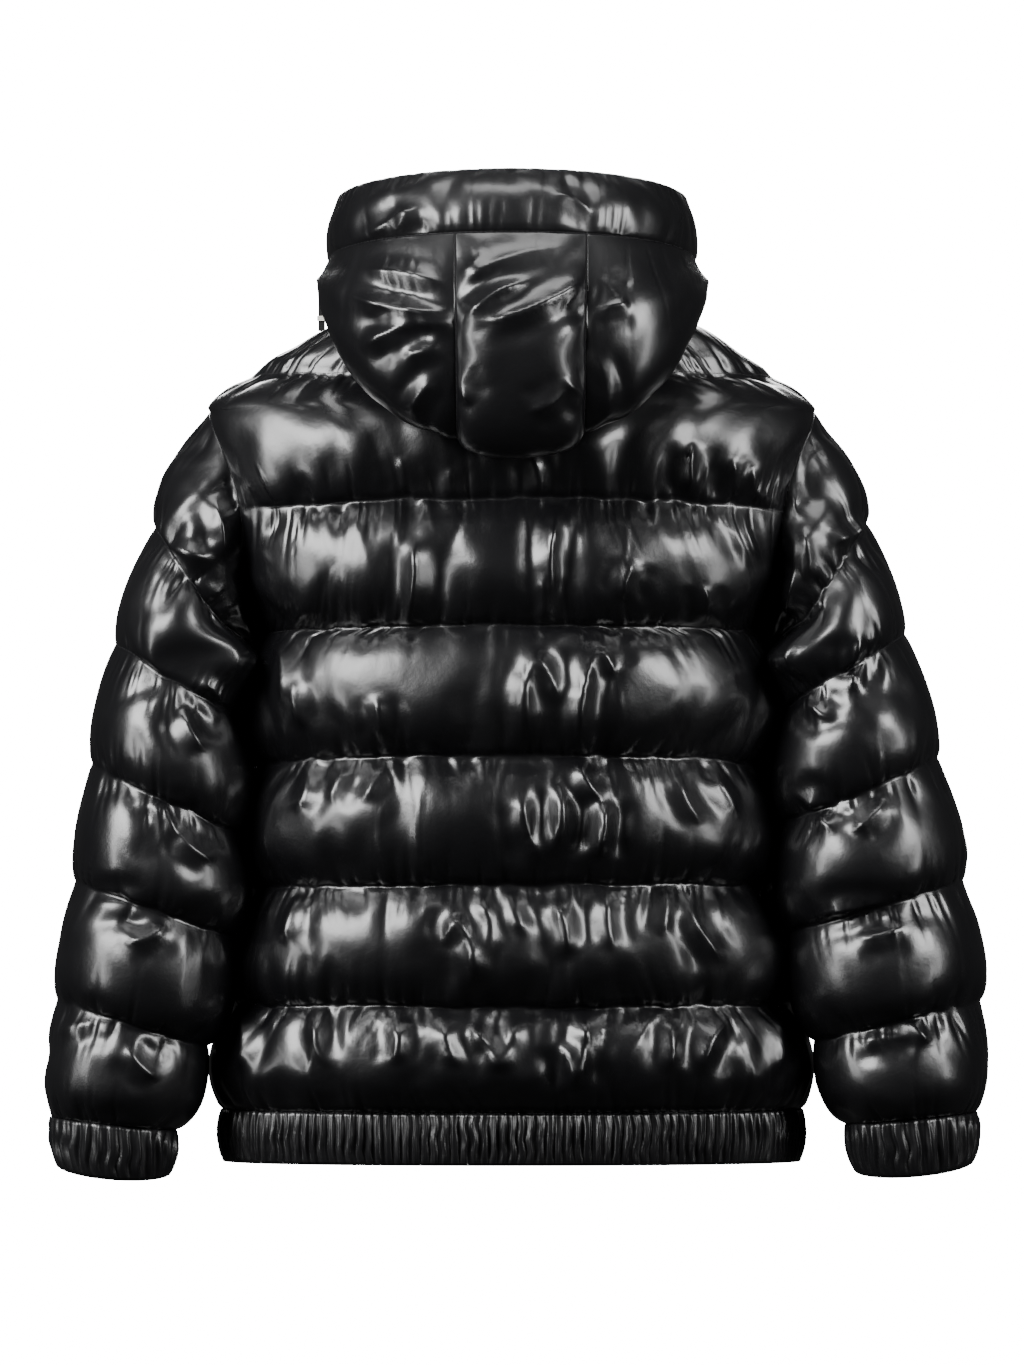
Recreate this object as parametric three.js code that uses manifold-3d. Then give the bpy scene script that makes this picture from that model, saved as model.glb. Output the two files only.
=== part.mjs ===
// A hooded puffer jacket in glossy black cloth, filled out and hollow. Each piece is a
// padded wall: a plain inside with the quilting raised on its outside, cut and joined as
// a maker would sew it. Millimetres, +Z up. The wearer's front faces -Y and the wearer's
// left is +X. The origin is the middle of the neck opening, at the base of the neck.

import * as THREE from 'three';
import { mergeVertices } from 'three/addons/utils/BufferGeometryUtils.js';
import Module from 'manifold-3d';

const wasm = await Module();
wasm.setup();

// Walls and seams
const SEAM_GAP = 0.3;
const SEAM_WALL = 3;
const FULLNESS = 2.25;
const PUFF_DROOP = 1.45;
const PUFF_ROUND = 0.6;
const PUFF_SLOPE = 0.28;
const EVEN = 0.001;
const OVERLAP = 0.1;

// The way out of a wall is square to its inside, and turns to the one that it shares with
// its neighbour near a seam: the steps that slopes are taken over, how late each turn
// comes, and how far below the armhole the side seam's is level
const SLOPE_STEP = { body: 0.02, sleeve: 0.03, hoodTurn: 1.5, hoodRow: 0.06 };
const TURN_LATE = { edge: 12, neck: 4, hem: 6, armhole: 3, cuff: 6, hoodNeck: 3 };
const UNDERARM_TURN = 30;
const NECK_RISE = 0.1;
const NECK_BEND = 2;

// Quilting rows of the body, from the shoulder row down to the hem seam: the height at the
// middle of the panel and the height where the row ends at its side.
const bodyRows = [
  { middle: -32, end: -38 },
  { middle: -136, end: -146 },
  { middle: -238, end: -245 },
  { middle: -344, end: -357 },
  { middle: -449, end: -455 },
  { middle: -548, end: -551 },
  { middle: -635, end: -635 },
];

// Plan sections of the body's plain inside: half is the distance from the middle to the
// edge of the panels, which is the side seam, then the armhole, then the shoulder seam;
// back and front are the depths at the middle; side is where the side seam lies.
const bodySections = [
  { z: -678, half: 233, back: 102, front: -104, side: -25 },
  { z: -635, half: 235, back: 104, front: -106, side: -25 },
  { z: -600, half: 233, back: 108, front: -109, side: -25 },
  { z: -548, half: 227, back: 112, front: -114, side: -25 },
  { z: -500, half: 216, back: 115, front: -117, side: -27 },
  { z: -449, half: 212, back: 118, front: -120, side: -30 },
  { z: -344, half: 210, back: 122, front: -124, side: -30 },
  { z: -290, half: 211, back: 123, front: -125, side: -29 },
  { z: -245, half: 206, back: 124, front: -126, side: -26 },
  { z: -209, half: 212, back: 124, front: -122, side: -20 },
  { z: -135, half: 222, back: 116, front: -106, side: -11 },
  { z: -106, half: 231, back: 108, front: -98, side: -8 },
  { z: -65, half: 246, back: 96, front: -84, side: -5 },
  { z: -50, half: 232, back: 92, front: -80, side: -4 },
  { z: -38, half: 212, back: 88, front: -76, side: -3 },
];

// Loft of the body's padding above its seams, at the middle of a panel and at its edges
const BACK_LOFT = 24;
const FRONT_LOFT = 20;
const SIDE_LOFT = 5;
const LOFT_SPREAD = 2.4;
const SHOULDER_LOFT = 8;
const ZIP_EDGE_LOFT = 2;
const ZIP_EDGE_LATE = 8;

// Armhole: its top and bottom heights, and how far it reaches behind and in front of the
// side line
const ARMHOLE_TOP = -65;
const ARMHOLE_BOTTOM = -245;
const ARMHOLE_BACK = 76;
const ARMHOLE_FRONT = 60;
const ARMHOLE_TILT = 0.5;

// Grid of the panels
const BACK_COLUMNS = 30;
const BACK_INNER_STEP = 3;
const FRONT_COLUMNS = 14;
const FRONT_INNER_STEP = 2;
const ROWS_PER_BAFFLE = 4;
const ARMHOLE_STEPS_ABOVE = 6;
const ARMHOLE_STEPS_BELOW = 6;

// Sleeve seams, from the first one below the armhole to the cuff seam: where each row
// meets the outer and the inner line of the sleeve, its half depth, the middle of that
// depth, and the loft of the padding above it on the outer line.
const leftSleeveRings = [
  { outerX: 291, outerZ: -156, innerX: 227, innerZ: -258, depth: 75, y: 3, loft: 7 },
  { outerX: 324, outerZ: -252, innerX: 222.5, innerZ: -318, depth: 73, y: 14, loft: 4 },
  { outerX: 343, outerZ: -351, innerX: 221.5, innerZ: -412, depth: 71, y: 23, loft: 4 },
  { outerX: 357, outerZ: -447, innerX: 227.5, innerZ: -494, depth: 69, y: 26, loft: 4 },
  { outerX: 372, outerZ: -544, innerX: 249, innerZ: -582, depth: 65, y: 26, loft: 4 },
  { outerX: 377, outerZ: -640, innerX: 275, innerZ: -651, depth: 54, y: 26, loft: 5 },
];
const rightSleeveRings = [
  { outerX: 289, outerZ: -153, innerX: 227, innerZ: -258, depth: 75, y: 3, loft: 7 },
  { outerX: 321, outerZ: -245, innerX: 222.5, innerZ: -310, depth: 74, y: 14, loft: 4 },
  { outerX: 348, outerZ: -346, innerX: 221.5, innerZ: -402, depth: 73, y: 23, loft: 5 },
  { outerX: 369, outerZ: -447, innerX: 227.5, innerZ: -490, depth: 71, y: 26, loft: 5 },
  { outerX: 383, outerZ: -545, innerX: 247, innerZ: -577, depth: 67, y: 26, loft: 4 },
  { outerX: 380, outerZ: -636, innerX: 273, innerZ: -646, depth: 55, y: 26, loft: 5 },
];
const SLEEVE_SIDE_LOFT = 16;
const SLEEVE_INNER_LOFT = 3;

// Cuffs and hem band, gathered on elastic
const leftCuffEnd = { outerX: 372, outerZ: -679, innerX: 280, innerZ: -686, depth: 48, y: 26 };
const rightCuffEnd = { outerX: 377, outerZ: -676, innerX: 281, innerZ: -684, depth: 49, y: 26 };
const CUFF_DROP = 8;
const CUFF_GATHERS = 28;
const HEM_BOTTOM = -678;
const HEM_GATHERS = 144;
const GATHER_WALL = 4.5;
const GATHER_DEPTH = 1.6;
const GATHER_ROUND = 0.5;
const GATHER_ROWS = [0, 0.2, 0.8, 1];
const HEM_INNER_COLUMNS = 48;
const HEM_SAMPLES = 360;

// Hood, lying down on the back: rings of its plain inside from the neck seam over the
// nape, down under the pouch, round its bottom fold and up the rear to the rim. Depths
// and heights at the back, the side and the front; square is how boxy the rear is; fall
// is how late the ring drops from its side to its back; loft is the padding above the
// seam wall.
const hoodRings = [
  { half: 92, back: 68, front: -72, zBack: 12, zSide: 20, zFront: -22, square: 1, fall: 1, loft: 0 },
  { half: 99, back: 78, front: -76, zBack: 34, zSide: 32, zFront: -14, square: 0.9, fall: 1, loft: 2 },
  { half: 107, back: 100, front: -81, zBack: 37, zSide: 39, zFront: -6, square: 0.75, fall: 1.4, loft: 3 },
  { half: 118, back: 126, front: -85, zBack: 4, zSide: 41, zFront: 2, square: 0.6, fall: 1.8, loft: 4 },
  { half: 128, back: 147, front: -89, zBack: -50, zSide: 38, zFront: 10, square: 0.5, fall: 1.6, loft: 5 },
  { half: 138, back: 176, front: -93, zBack: -91, zSide: 34, zFront: 18, square: 0.38, fall: 1, loft: 7 },
  { half: 142, back: 205, front: -96, zBack: -66, zSide: 36, zFront: 25, square: 0.4, fall: 1, loft: 9 },
  { half: 144, back: 212, front: -98, zBack: 2, zSide: 43, zFront: 32, square: 0.5, fall: 1, loft: 11 },
  { half: 147, back: 186, front: -100, zBack: 78, zSide: 60, zFront: 40, square: 0.6, fall: 1, loft: 0 },
  { half: 140, back: 152, front: -104, zBack: 129, zSide: 108, zFront: 92, square: 0.6, fall: 1, loft: 2 },
];
const neckline = hoodRings[0];
const HOOD_SEAM_LEFT = 18;
const HOOD_SEAM_RIGHT = -24;
const BAND_RING = 8;
const RIM_RING = 9;
const BAND_LOFT = 11;
const BAND_SIDE_LOFT = 4;
const BAND_SIDE_LATE = 4;
const BAND_ZIP_LATE = 24;
const BAND_FOLD = 0.06;
const CROWN_EDGE_LATE = 6;
const HOOD_STEPS_PER_RING = 2;
const HOOD_INNER_STEP = 2;
const BAND_ROWS = 5;

// Zip
const ZIP_EDGE = 6;
const TAPE_HALF = 6;
const TAPE_WALL = 1.2;
const CHAIN_HALF = 2.4;
const CHAIN_BEVEL = 0.4;
const CHAIN_WALL = 2.6;
const SLIDER = { z: 78, width: 9, height: 12, wall: 2.4 };
const HINGE = { radius: 0.8, hole: 1.15, barrel: 1.9, standoff: 2.4, width: 4, lug: 1.4 };
const PULL = { width: 7, length: 34, wall: 1.5, eye: 3, shoulder: 1, rim: 1 };
const ROUND_STEPS = 16;

// Small tab sewn into the side of the hood, with a pale band round it
const TAB = { z: 29, length: 26, width: 5.4, wall: 2, y: 6 };
const TAB_SEARCH = { above: 2, rows: 3, step: 0.1 };
const TAB_BAND = { z: 13.5, height: 4, wall: 0.8 };

// Materials
const cloth = { color: 0x111214, roughness: 0.28, metalness: 0 };
const rib = { color: 0x101113, roughness: 0.36, metalness: 0 };
const tape = { color: 0x0c0c0d, roughness: 0.8, metalness: 0 };
const metal = { color: 0x2a2a2c, roughness: 0.35, metalness: 1 };
const pale = { color: 0xd8d6d0, roughness: 0.6, metalness: 0 };

const radians = THREE.MathUtils.degToRad;
const lerp = THREE.MathUtils.lerp;
const clamp = THREE.MathUtils.clamp;
const vector = (x, y, z) => new THREE.Vector3(x, y, z);

// The value of one column of a table at a place between its rows, on a smooth curve
function along(table, key, at, name) {
  const rising = table[table.length - 1][key] > table[0][key];
  const rows = rising ? table : [...table].reverse();
  const place = clamp(at, rows[0][key], rows[rows.length - 1][key]);
  let i = 0;
  while (i < rows.length - 2 && rows[i + 1][key] < place) i += 1;
  const slope = (k) => {
    const before = rows[Math.max(k - 1, 0)];
    const after = rows[Math.min(k + 1, rows.length - 1)];
    return (after[name] - before[name]) / (after[key] - before[key]);
  };
  const span = rows[i + 1][key] - rows[i][key];
  const t = (place - rows[i][key]) / span;
  const start = rows[i][name];
  const rise = rows[i + 1][name] - start;
  const bend = (1 - t) * (slope(i) * span - rise) - t * (slope(i + 1) * span - rise);
  return start + t * rise + t * (1 - t) * bend;
}

// Height of the padding between two seams: 0 at both, fullest below the middle
function puff(t) {
  return Math.sin(Math.PI * clamp(t, 0, 1) ** PUFF_DROOP) ** PUFF_ROUND;
}

// Moves the points along one edge of a grid back from the seam, by half of its gap
function setBack(point, neighbour) {
  const step = neighbour.clone().sub(point).setLength(SEAM_GAP / 2);
  return point.clone().add(step);
}

// Joins two lines of point numbers, which run the same way, with a strip of triangles. The
// strip is cut the same way on both sides of a seam, and flip turns its faces round.
function strip(faces, points, upper, lower, flip) {
  const lengths = (line) => {
    const sums = [0];
    for (let k = 1; k < line.length; k += 1) {
      sums.push(sums[k - 1] + points[line[k]].distanceTo(points[line[k - 1]]));
    }
    return sums.map((sum) => sum / sums[sums.length - 1]);
  };
  const upperAt = lengths(upper);
  const lowerAt = lengths(lower);
  let i = 0;
  let j = 0;
  while (i < upper.length - 1 || j < lower.length - 1) {
    const upperNext = i < upper.length - 1 ? upperAt[i + 1] : Infinity;
    const lowerNext = j < lower.length - 1 ? lowerAt[j + 1] : Infinity;
    const face = [upper[i], lower[j]];
    if (upperNext < lowerNext + EVEN) {
      i += 1;
      face.splice(1, 0, upper[i]);
    } else {
      j += 1;
      face.splice(1, 0, lower[j]);
    }
    faces.push(flip ? face.reverse() : face);
  }
}

// A closed wall from an outer and an inner grid of points, given as rows. Where the rows
// run round a tube, ring closes them.
function closedWall(outer, inner, ring) {
  const points = [];
  const number = (grid) => grid.map((row) => row.map((point) => points.push(point) - 1));
  const faces = [];
  const outerAt = number(outer);
  const innerAt = number(inner);
  const skin = (grid, flip) => {
    const columns = grid[0].length;
    for (let r = 0; r < grid.length - 1; r += 1) {
      for (let c = 0; c < (ring ? columns : columns - 1); c += 1) {
        const next = (c + 1) % columns;
        const corners = [grid[r][c], grid[r + 1][c], grid[r + 1][next], grid[r][next]];
        if (flip) corners.reverse();
        faces.push([corners[0], corners[1], corners[2]], [corners[0], corners[2], corners[3]]);
      }
    }
  };
  skin(outerAt, false);
  skin(innerAt, true);
  const loop = (row) => (ring ? [...row, row[0]] : row);
  const column = (grid, c) => grid.map((row) => row.at(c));
  strip(faces, points, loop(outerAt[0]), loop(innerAt[0]), false);
  strip(faces, points, loop(outerAt.at(-1)), loop(innerAt.at(-1)), true);
  if (!ring) {
    strip(faces, points, column(outerAt, -1), column(innerAt, -1), false);
    strip(faces, points, column(outerAt, 0), column(innerAt, 0), true);
  }
  return facesOutward(points, faces);
}

// A geometry of these faces, turned so that they all point out of the body
function facesOutward(points, faces) {
  const volume = faces.reduce((sum, [a, b, c]) => {
    return sum + points[a].dot(points[b].clone().cross(points[c]));
  }, 0);
  const turned = volume < 0 ? faces.map(([a, b, c]) => [a, c, b]) : faces;
  const places = points.flatMap((point) => point.toArray());
  const geometry = new THREE.BufferGeometry();
  geometry.setAttribute('position', new THREE.Float32BufferAttribute(places, 3));
  geometry.setIndex(turned.flat());
  geometry.computeVertexNormals();
  return geometry;
}

// A padded panel. point, outward and wall give the plain inside, the way out and the
// thickness at a row and a column; innerRows and innerColumns are the steps of the
// coarser inside.
function panel({ rows, columns, point, outward, wall, ring = false, innerRows, innerColumns }) {
  const base = rows.map((row) => columns.map((column) => point(column, row)));
  const last = columns.length - 1;
  const pulled = base.map((line) => line.map((p) => p.clone()));
  const bottom = rows.length - 1;
  columns.forEach((_, c) => {
    pulled[0][c] = setBack(base[0][c], base[1][c]);
    pulled[bottom][c] = setBack(base[bottom][c], base[bottom - 1][c]);
  });
  if (!ring) {
    rows.forEach((_, r) => {
      pulled[r][0] = setBack(pulled[r][0], base[r][1]);
      pulled[r][last] = setBack(pulled[r][last], base[r][last - 1]);
    });
  }
  const outer = rows.map((row, r) => columns.map((column, c) => {
    return pulled[r][c].clone().addScaledVector(outward(column, row), wall(column, row));
  }));
  const keepRow = (r) => r === 0 || r === bottom || innerRows(rows[r]);
  const keepColumn = (c) => (!ring && c === last) || c % innerColumns === 0;
  const keptRows = pulled.filter((_, r) => keepRow(r));
  const inner = keptRows.map((line) => line.filter((_, c) => keepColumn(c)));
  return closedWall(outer, inner, ring);
}

// The way out of a surface at a place, from its slopes along rows and columns
function normalOf(point, column, row, columnStep, rowStep, limits) {
  const left = point(Math.max(column - columnStep, limits.columns[0]), row);
  const right = point(Math.min(column + columnStep, limits.columns[1]), row);
  const up = point(column, Math.max(row - rowStep, limits.rows[0]));
  const down = point(column, Math.min(row + rowStep, limits.rows[1]));
  return right.sub(left).cross(up.sub(down)).normalize();
}

// Heights of a body row that is given as a number of baffles from the neckline
function bodyHeights(row) {
  const i = clamp(Math.floor(row) - 1, 0, bodyRows.length - 2);
  const t = row - 1 - i;
  return {
    middle: lerp(bodyRows[i].middle, bodyRows[i + 1].middle, t),
    end: lerp(bodyRows[i].end, bodyRows[i + 1].end, t),
  };
}

// The body row that ends at this height
function rowEndingAt(z) {
  let i = 0;
  while (i < bodyRows.length - 2 && bodyRows[i + 1].end > z) i += 1;
  return 1 + i + (bodyRows[i].end - z) / (bodyRows[i].end - bodyRows[i + 1].end);
}

const armholeMiddle = (ARMHOLE_TOP + ARMHOLE_BOTTOM) / 2;
const armholeHalf = (ARMHOLE_TOP - ARMHOLE_BOTTOM) / 2;
const armholeAngle = (z) => Math.acos(clamp((z - armholeMiddle) / armholeHalf, -1, 1));
const armholeHeight = (angle) => armholeMiddle + armholeHalf * Math.cos(angle);

// Angles round half of the armhole, from the shoulder to the underarm, in even steps on
// both sides of the body row that ends there
const armholeSplit = armholeAngle(bodyRows[1].end);
const armholeAngles = [
  ...Array.from({ length: ARMHOLE_STEPS_ABOVE }, (_, k) => (armholeSplit * k) / ARMHOLE_STEPS_ABOVE),
  ...Array.from({ length: ARMHOLE_STEPS_BELOW + 1 }, (_, k) => {
    return lerp(armholeSplit, Math.PI, k / ARMHOLE_STEPS_BELOW);
  }),
];

// Where the armhole seam lies: on the back for angles up to a half turn, then on the front
function armholePoint(angle) {
  const z = armholeHeight(angle);
  const reach = Math.sin(angle) > 0 ? ARMHOLE_BACK : ARMHOLE_FRONT;
  const y = along(bodySections, 'z', z, 'side') + reach * Math.sin(angle);
  return vector(along(bodySections, 'z', z, 'half'), y, z);
}

// The way out that both walls share at the armhole seam
function armholeOutward(angle) {
  return vector(ARMHOLE_TILT, Math.sin(angle), Math.cos(angle)).normalize();
}

// A point of a body section at a height: share runs from 0 at the middle to 1 at the
// panel's edge, and start is how far from the middle it begins
function sectionPoint(z, share, toBack, start = 0) {
  const side = along(bodySections, 'z', z, 'side');
  const edge = along(bodySections, 'z', z, 'half');
  const reach = along(bodySections, 'z', z, toBack ? 'back' : 'front') - side;
  const armhole = z > ARMHOLE_BOTTOM && z < ARMHOLE_TOP ? Math.sin(armholeAngle(z)) : 0;
  const depth = armhole * (toBack ? ARMHOLE_BACK : ARMHOLE_FRONT);
  const full = edge / (1 - (depth / Math.abs(reach)) ** FULLNESS) ** (1 / FULLNESS);
  const power = 2 / FULLNESS;
  const first = Math.asin((start / full) ** (1 / power));
  const last = Math.asin(clamp((edge / full) ** (1 / power), 0, 1));
  const angle = lerp(first, last, share);
  return vector(full * Math.sin(angle) ** power, side + reach * Math.cos(angle) ** power, z);
}

// An oval of the hood or the neck at an angle, 0 at the back and 180 at the front
function ovalPoint(oval, degrees) {
  const sine = Math.sin(radians(degrees));
  const cosine = Math.cos(radians(degrees));
  if (cosine >= 0) {
    const y = oval.back * cosine ** oval.square;
    return vector(oval.half * sine, y, lerp(oval.zSide, oval.zBack, cosine ** oval.fall));
  }
  return vector(oval.half * sine, oval.front * -cosine, lerp(oval.zSide, oval.zFront, -cosine));
}

// The angle on an oval where the zip's edge is
const zipAngle = (oval) => 180 - THREE.MathUtils.radToDeg(Math.asin(ZIP_EDGE / oval.half));

// The way out at the neck seam, shared by the body and the hood
function neckOutward(degrees) {
  return vector(Math.sin(radians(degrees)), Math.cos(radians(degrees)), NECK_RISE).normalize();
}

// The back's plain inside: across from -1 at one edge to 1 at the other
function backPoint(across, row) {
  const side = Math.sign(across) || 1;
  const share = Math.abs(across);
  const heights = bodyHeights(Math.max(row, 1));
  const z = lerp(heights.middle, heights.end, share * share);
  const point = sectionPoint(z, share, true);
  if (row < 1) point.lerp(ovalPoint(neckline, 90 * share), 1 - row);
  return vector(side * point.x, point.y, point.z);
}

// A front's plain inside on the wearer's left: across from 0 at the zip to 1 at the side
function frontPoint(across, row) {
  const heights = bodyHeights(Math.max(row, 1));
  const z = lerp(heights.middle, heights.end, across * across);
  const point = sectionPoint(z, across, false, ZIP_EDGE);
  if (row < 1) point.lerp(ovalPoint(neckline, lerp(zipAngle(neckline), 90, across)), 1 - row);
  return point;
}

// The way out at the outer edge of a body panel: level at the side seam, the armhole's,
// then upward at the shoulder seam and level again at the neck
function bodyEdgeOutward(row, toBack) {
  const z = bodyHeights(Math.max(row, 1)).end;
  if (z < ARMHOLE_BOTTOM) {
    const below = clamp((ARMHOLE_BOTTOM - z) / UNDERARM_TURN, 0, 1);
    return armholeOutward(Math.PI).lerp(vector(1, 0, 0), below).normalize();
  }
  if (z < ARMHOLE_TOP) return armholeOutward(armholeAngle(z) * (toBack ? 1 : -1));
  const toNeck = clamp(1 - row, 0, 1) ** NECK_BEND;
  return armholeOutward(0).lerp(neckOutward(90), toNeck).normalize();
}

// The thickness of a body panel from its loft at the middle and at its edge
function bodyWall(point, across, row, middleLoft, edgeLoft) {
  const upper = Math.min(Math.floor(row), bodyRows.length - 1);
  const height = point(across, upper).distanceTo(point(across, upper + 1));
  const share = 1 - Math.abs(across) ** LOFT_SPREAD;
  const loft = Math.min(lerp(edgeLoft, middleLoft, share), PUFF_SLOPE * height);
  return SEAM_WALL + loft * puff(row - upper);
}

// The loft at a body panel's outer edge, none along the armhole
function bodyEdgeLoft(row) {
  const z = bodyHeights(Math.max(row, 1)).end;
  if (z < ARMHOLE_BOTTOM) return SIDE_LOFT;
  return SHOULDER_LOFT * clamp((z - ARMHOLE_TOP) / (bodyRows[0].end - ARMHOLE_TOP), 0, 1);
}

// The body's rows, counted in baffles from the neckline: even within each baffle, and at
// the armhole's angles beside it
const bodyGridRows = [
  ...Array.from({ length: ROWS_PER_BAFFLE + 1 }, (_, k) => k / ROWS_PER_BAFFLE),
  ...armholeAngles.map((angle) => rowEndingAt(armholeHeight(angle))),
  ...Array.from({ length: ROWS_PER_BAFFLE * 4 }, (_, k) => 3 + (k + 1) / ROWS_PER_BAFFLE),
];
const atHem = (row) => clamp(row + 1 - bodyRows.length, 0, 1) ** TURN_LATE.hem;
const atNeck = (row) => clamp(1 - row, 0, 1) ** TURN_LATE.neck;
const isSeamRow = (row) => Math.abs(row - Math.round(row)) < EVEN;
const isInnerRow = (row) => isSeamRow(row) || (row > 1 && row < 3);

function backGeometry() {
  const limits = { columns: [-1, 1], rows: [0, bodyRows.length] };
  const outward = (across, row) => {
    const own = normalOf(backPoint, across, row, SLOPE_STEP.body, SLOPE_STEP.body, limits).negate();
    const edge = bodyEdgeOutward(row, true);
    edge.x *= Math.sign(across);
    own.lerp(edge, Math.abs(across) ** TURN_LATE.edge);
    own.z *= 1 - atHem(row);
    return own.lerp(neckOutward(90 * across), atNeck(row)).normalize();
  };
  return panel({
    rows: bodyGridRows,
    columns: Array.from({ length: BACK_COLUMNS + 1 }, (_, k) => (2 * k) / BACK_COLUMNS - 1),
    point: backPoint,
    outward,
    wall: (across, row) => bodyWall(backPoint, across, row, BACK_LOFT, bodyEdgeLoft(row)),
    innerRows: isInnerRow,
    innerColumns: BACK_INNER_STEP,
  });
}

function frontGeometry() {
  const limits = { columns: [0, 1], rows: [0, bodyRows.length] };
  const outward = (across, row) => {
    const own = normalOf(frontPoint, across, row, SLOPE_STEP.body, SLOPE_STEP.body, limits);
    if (across < EVEN) own.x = 0;
    own.lerp(bodyEdgeOutward(row, false), across ** TURN_LATE.edge);
    own.z *= 1 - atHem(row);
    const degrees = lerp(zipAngle(neckline), 90, across);
    return own.lerp(neckOutward(degrees), atNeck(row)).normalize();
  };
  const wall = (across, row) => {
    const toZip = (1 - across) ** ZIP_EDGE_LATE;
    const middle = lerp(FRONT_LOFT, ZIP_EDGE_LOFT, toZip);
    return bodyWall(frontPoint, across, row, middle, bodyEdgeLoft(row));
  };
  return panel({
    rows: bodyGridRows,
    columns: Array.from({ length: FRONT_COLUMNS + 1 }, (_, k) => k / FRONT_COLUMNS),
    point: frontPoint,
    outward,
    wall,
    innerRows: isInnerRow,
    innerColumns: FRONT_INNER_STEP,
  });
}

// A ring of a sleeve's plain inside, as a function of the angle: 0 on the outer line, a
// quarter turn on the back, a half turn on the inner line
function sleeveRing(ring, drop = 0) {
  const outer = vector(ring.outerX, ring.y, ring.outerZ);
  const inner = vector(ring.innerX, ring.y, ring.innerZ);
  const middle = outer.clone().add(inner).multiplyScalar(0.5);
  const reach = outer.clone().sub(middle);
  reach.setLength(reach.length() - SEAM_WALL);
  return (angle) => {
    const point = middle.clone().addScaledVector(reach, Math.cos(angle));
    point.y += (ring.depth - SEAM_WALL) * Math.sin(angle);
    point.z -= drop * Math.abs(Math.sin(angle));
    return point;
  };
}

// The way out of a ring, level with its own plane
function ringOutward(ring, angle) {
  const across = vector(ring.outerX - ring.innerX, 0, ring.outerZ - ring.innerZ);
  const half = across.length() / 2;
  const out = across.setLength(Math.cos(angle) / half);
  out.y = Math.sin(angle) / ring.depth;
  return out.normalize();
}

function sleeveGeometry(rings) {
  const fullTurn = 2 * Math.PI;
  const frontAngles = armholeAngles.slice(1, -1).reverse().map((angle) => fullTurn - angle);
  const limits = { columns: [-fullTurn, 2 * fullTurn], rows: [0, rings.length] };
  const sleeveLines = new Map();
  const line = (angle) => {
    if (!sleeveLines.has(angle)) {
      const stations = [armholePoint(angle), ...rings.map((ring) => sleeveRing(ring)(angle))];
      sleeveLines.set(angle, new THREE.CatmullRomCurve3(stations, false, 'centripetal'));
    }
    return sleeveLines.get(angle);
  };
  const point = (angle, row) => line(angle).getPoint(clamp(row / rings.length, 0, 1));
  const outward = (angle, row) => {
    const own = normalOf(point, angle, row, SLOPE_STEP.sleeve, SLOPE_STEP.sleeve, limits);
    own.lerp(armholeOutward(angle), clamp(1 - row, 0, 1) ** TURN_LATE.armhole);
    const atCuff = clamp(row + 1 - rings.length, 0, 1) ** TURN_LATE.cuff;
    return own.lerp(ringOutward(rings.at(-1), angle), atCuff).normalize();
  };
  const wall = (angle, row) => {
    const upper = Math.min(Math.floor(row), rings.length - 1);
    const height = point(angle, upper).distanceTo(point(angle, upper + 1));
    const onLine = Math.cos(angle) > 0 ? rings[upper].loft : SLEEVE_INNER_LOFT;
    const loft = lerp(onLine, SLEEVE_SIDE_LOFT, Math.sin(angle) ** 2);
    return SEAM_WALL + Math.min(loft, PUFF_SLOPE * height) * puff(row - upper);
  };
  const steps = rings.length * ROWS_PER_BAFFLE;
  return panel({
    rows: Array.from({ length: steps + 1 }, (_, k) => k / ROWS_PER_BAFFLE),
    columns: [...armholeAngles, ...frontAngles],
    point,
    outward,
    wall,
    ring: true,
    innerRows: isSeamRow,
    innerColumns: 1,
  });
}

// The height of a gathered band's outside at a column: ridges and troughs by turns,
// flattened at both seams
function gatherWall(column, t) {
  const ridge = column % 2 === 0 ? 1 : -1;
  const swell = Math.sin(Math.PI * clamp(t, 0, 1)) ** GATHER_ROUND;
  return lerp(SEAM_WALL, GATHER_WALL + ridge * GATHER_DEPTH, swell);
}

function cuffGeometry(seam, end) {
  const upper = sleeveRing(seam);
  const lower = sleeveRing(end, CUFF_DROP);
  const count = CUFF_GATHERS * 2;
  const angle = (column) => (column / count) * 2 * Math.PI;
  return panel({
    rows: GATHER_ROWS,
    columns: Array.from({ length: count }, (_, k) => k),
    point: (column, row) => upper(angle(column)).lerp(lower(angle(column)), row),
    outward: (column) => ringOutward(seam, angle(column)),
    wall: gatherWall,
    ring: true,
    innerRows: () => false,
    innerColumns: 2,
  });
}

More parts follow.
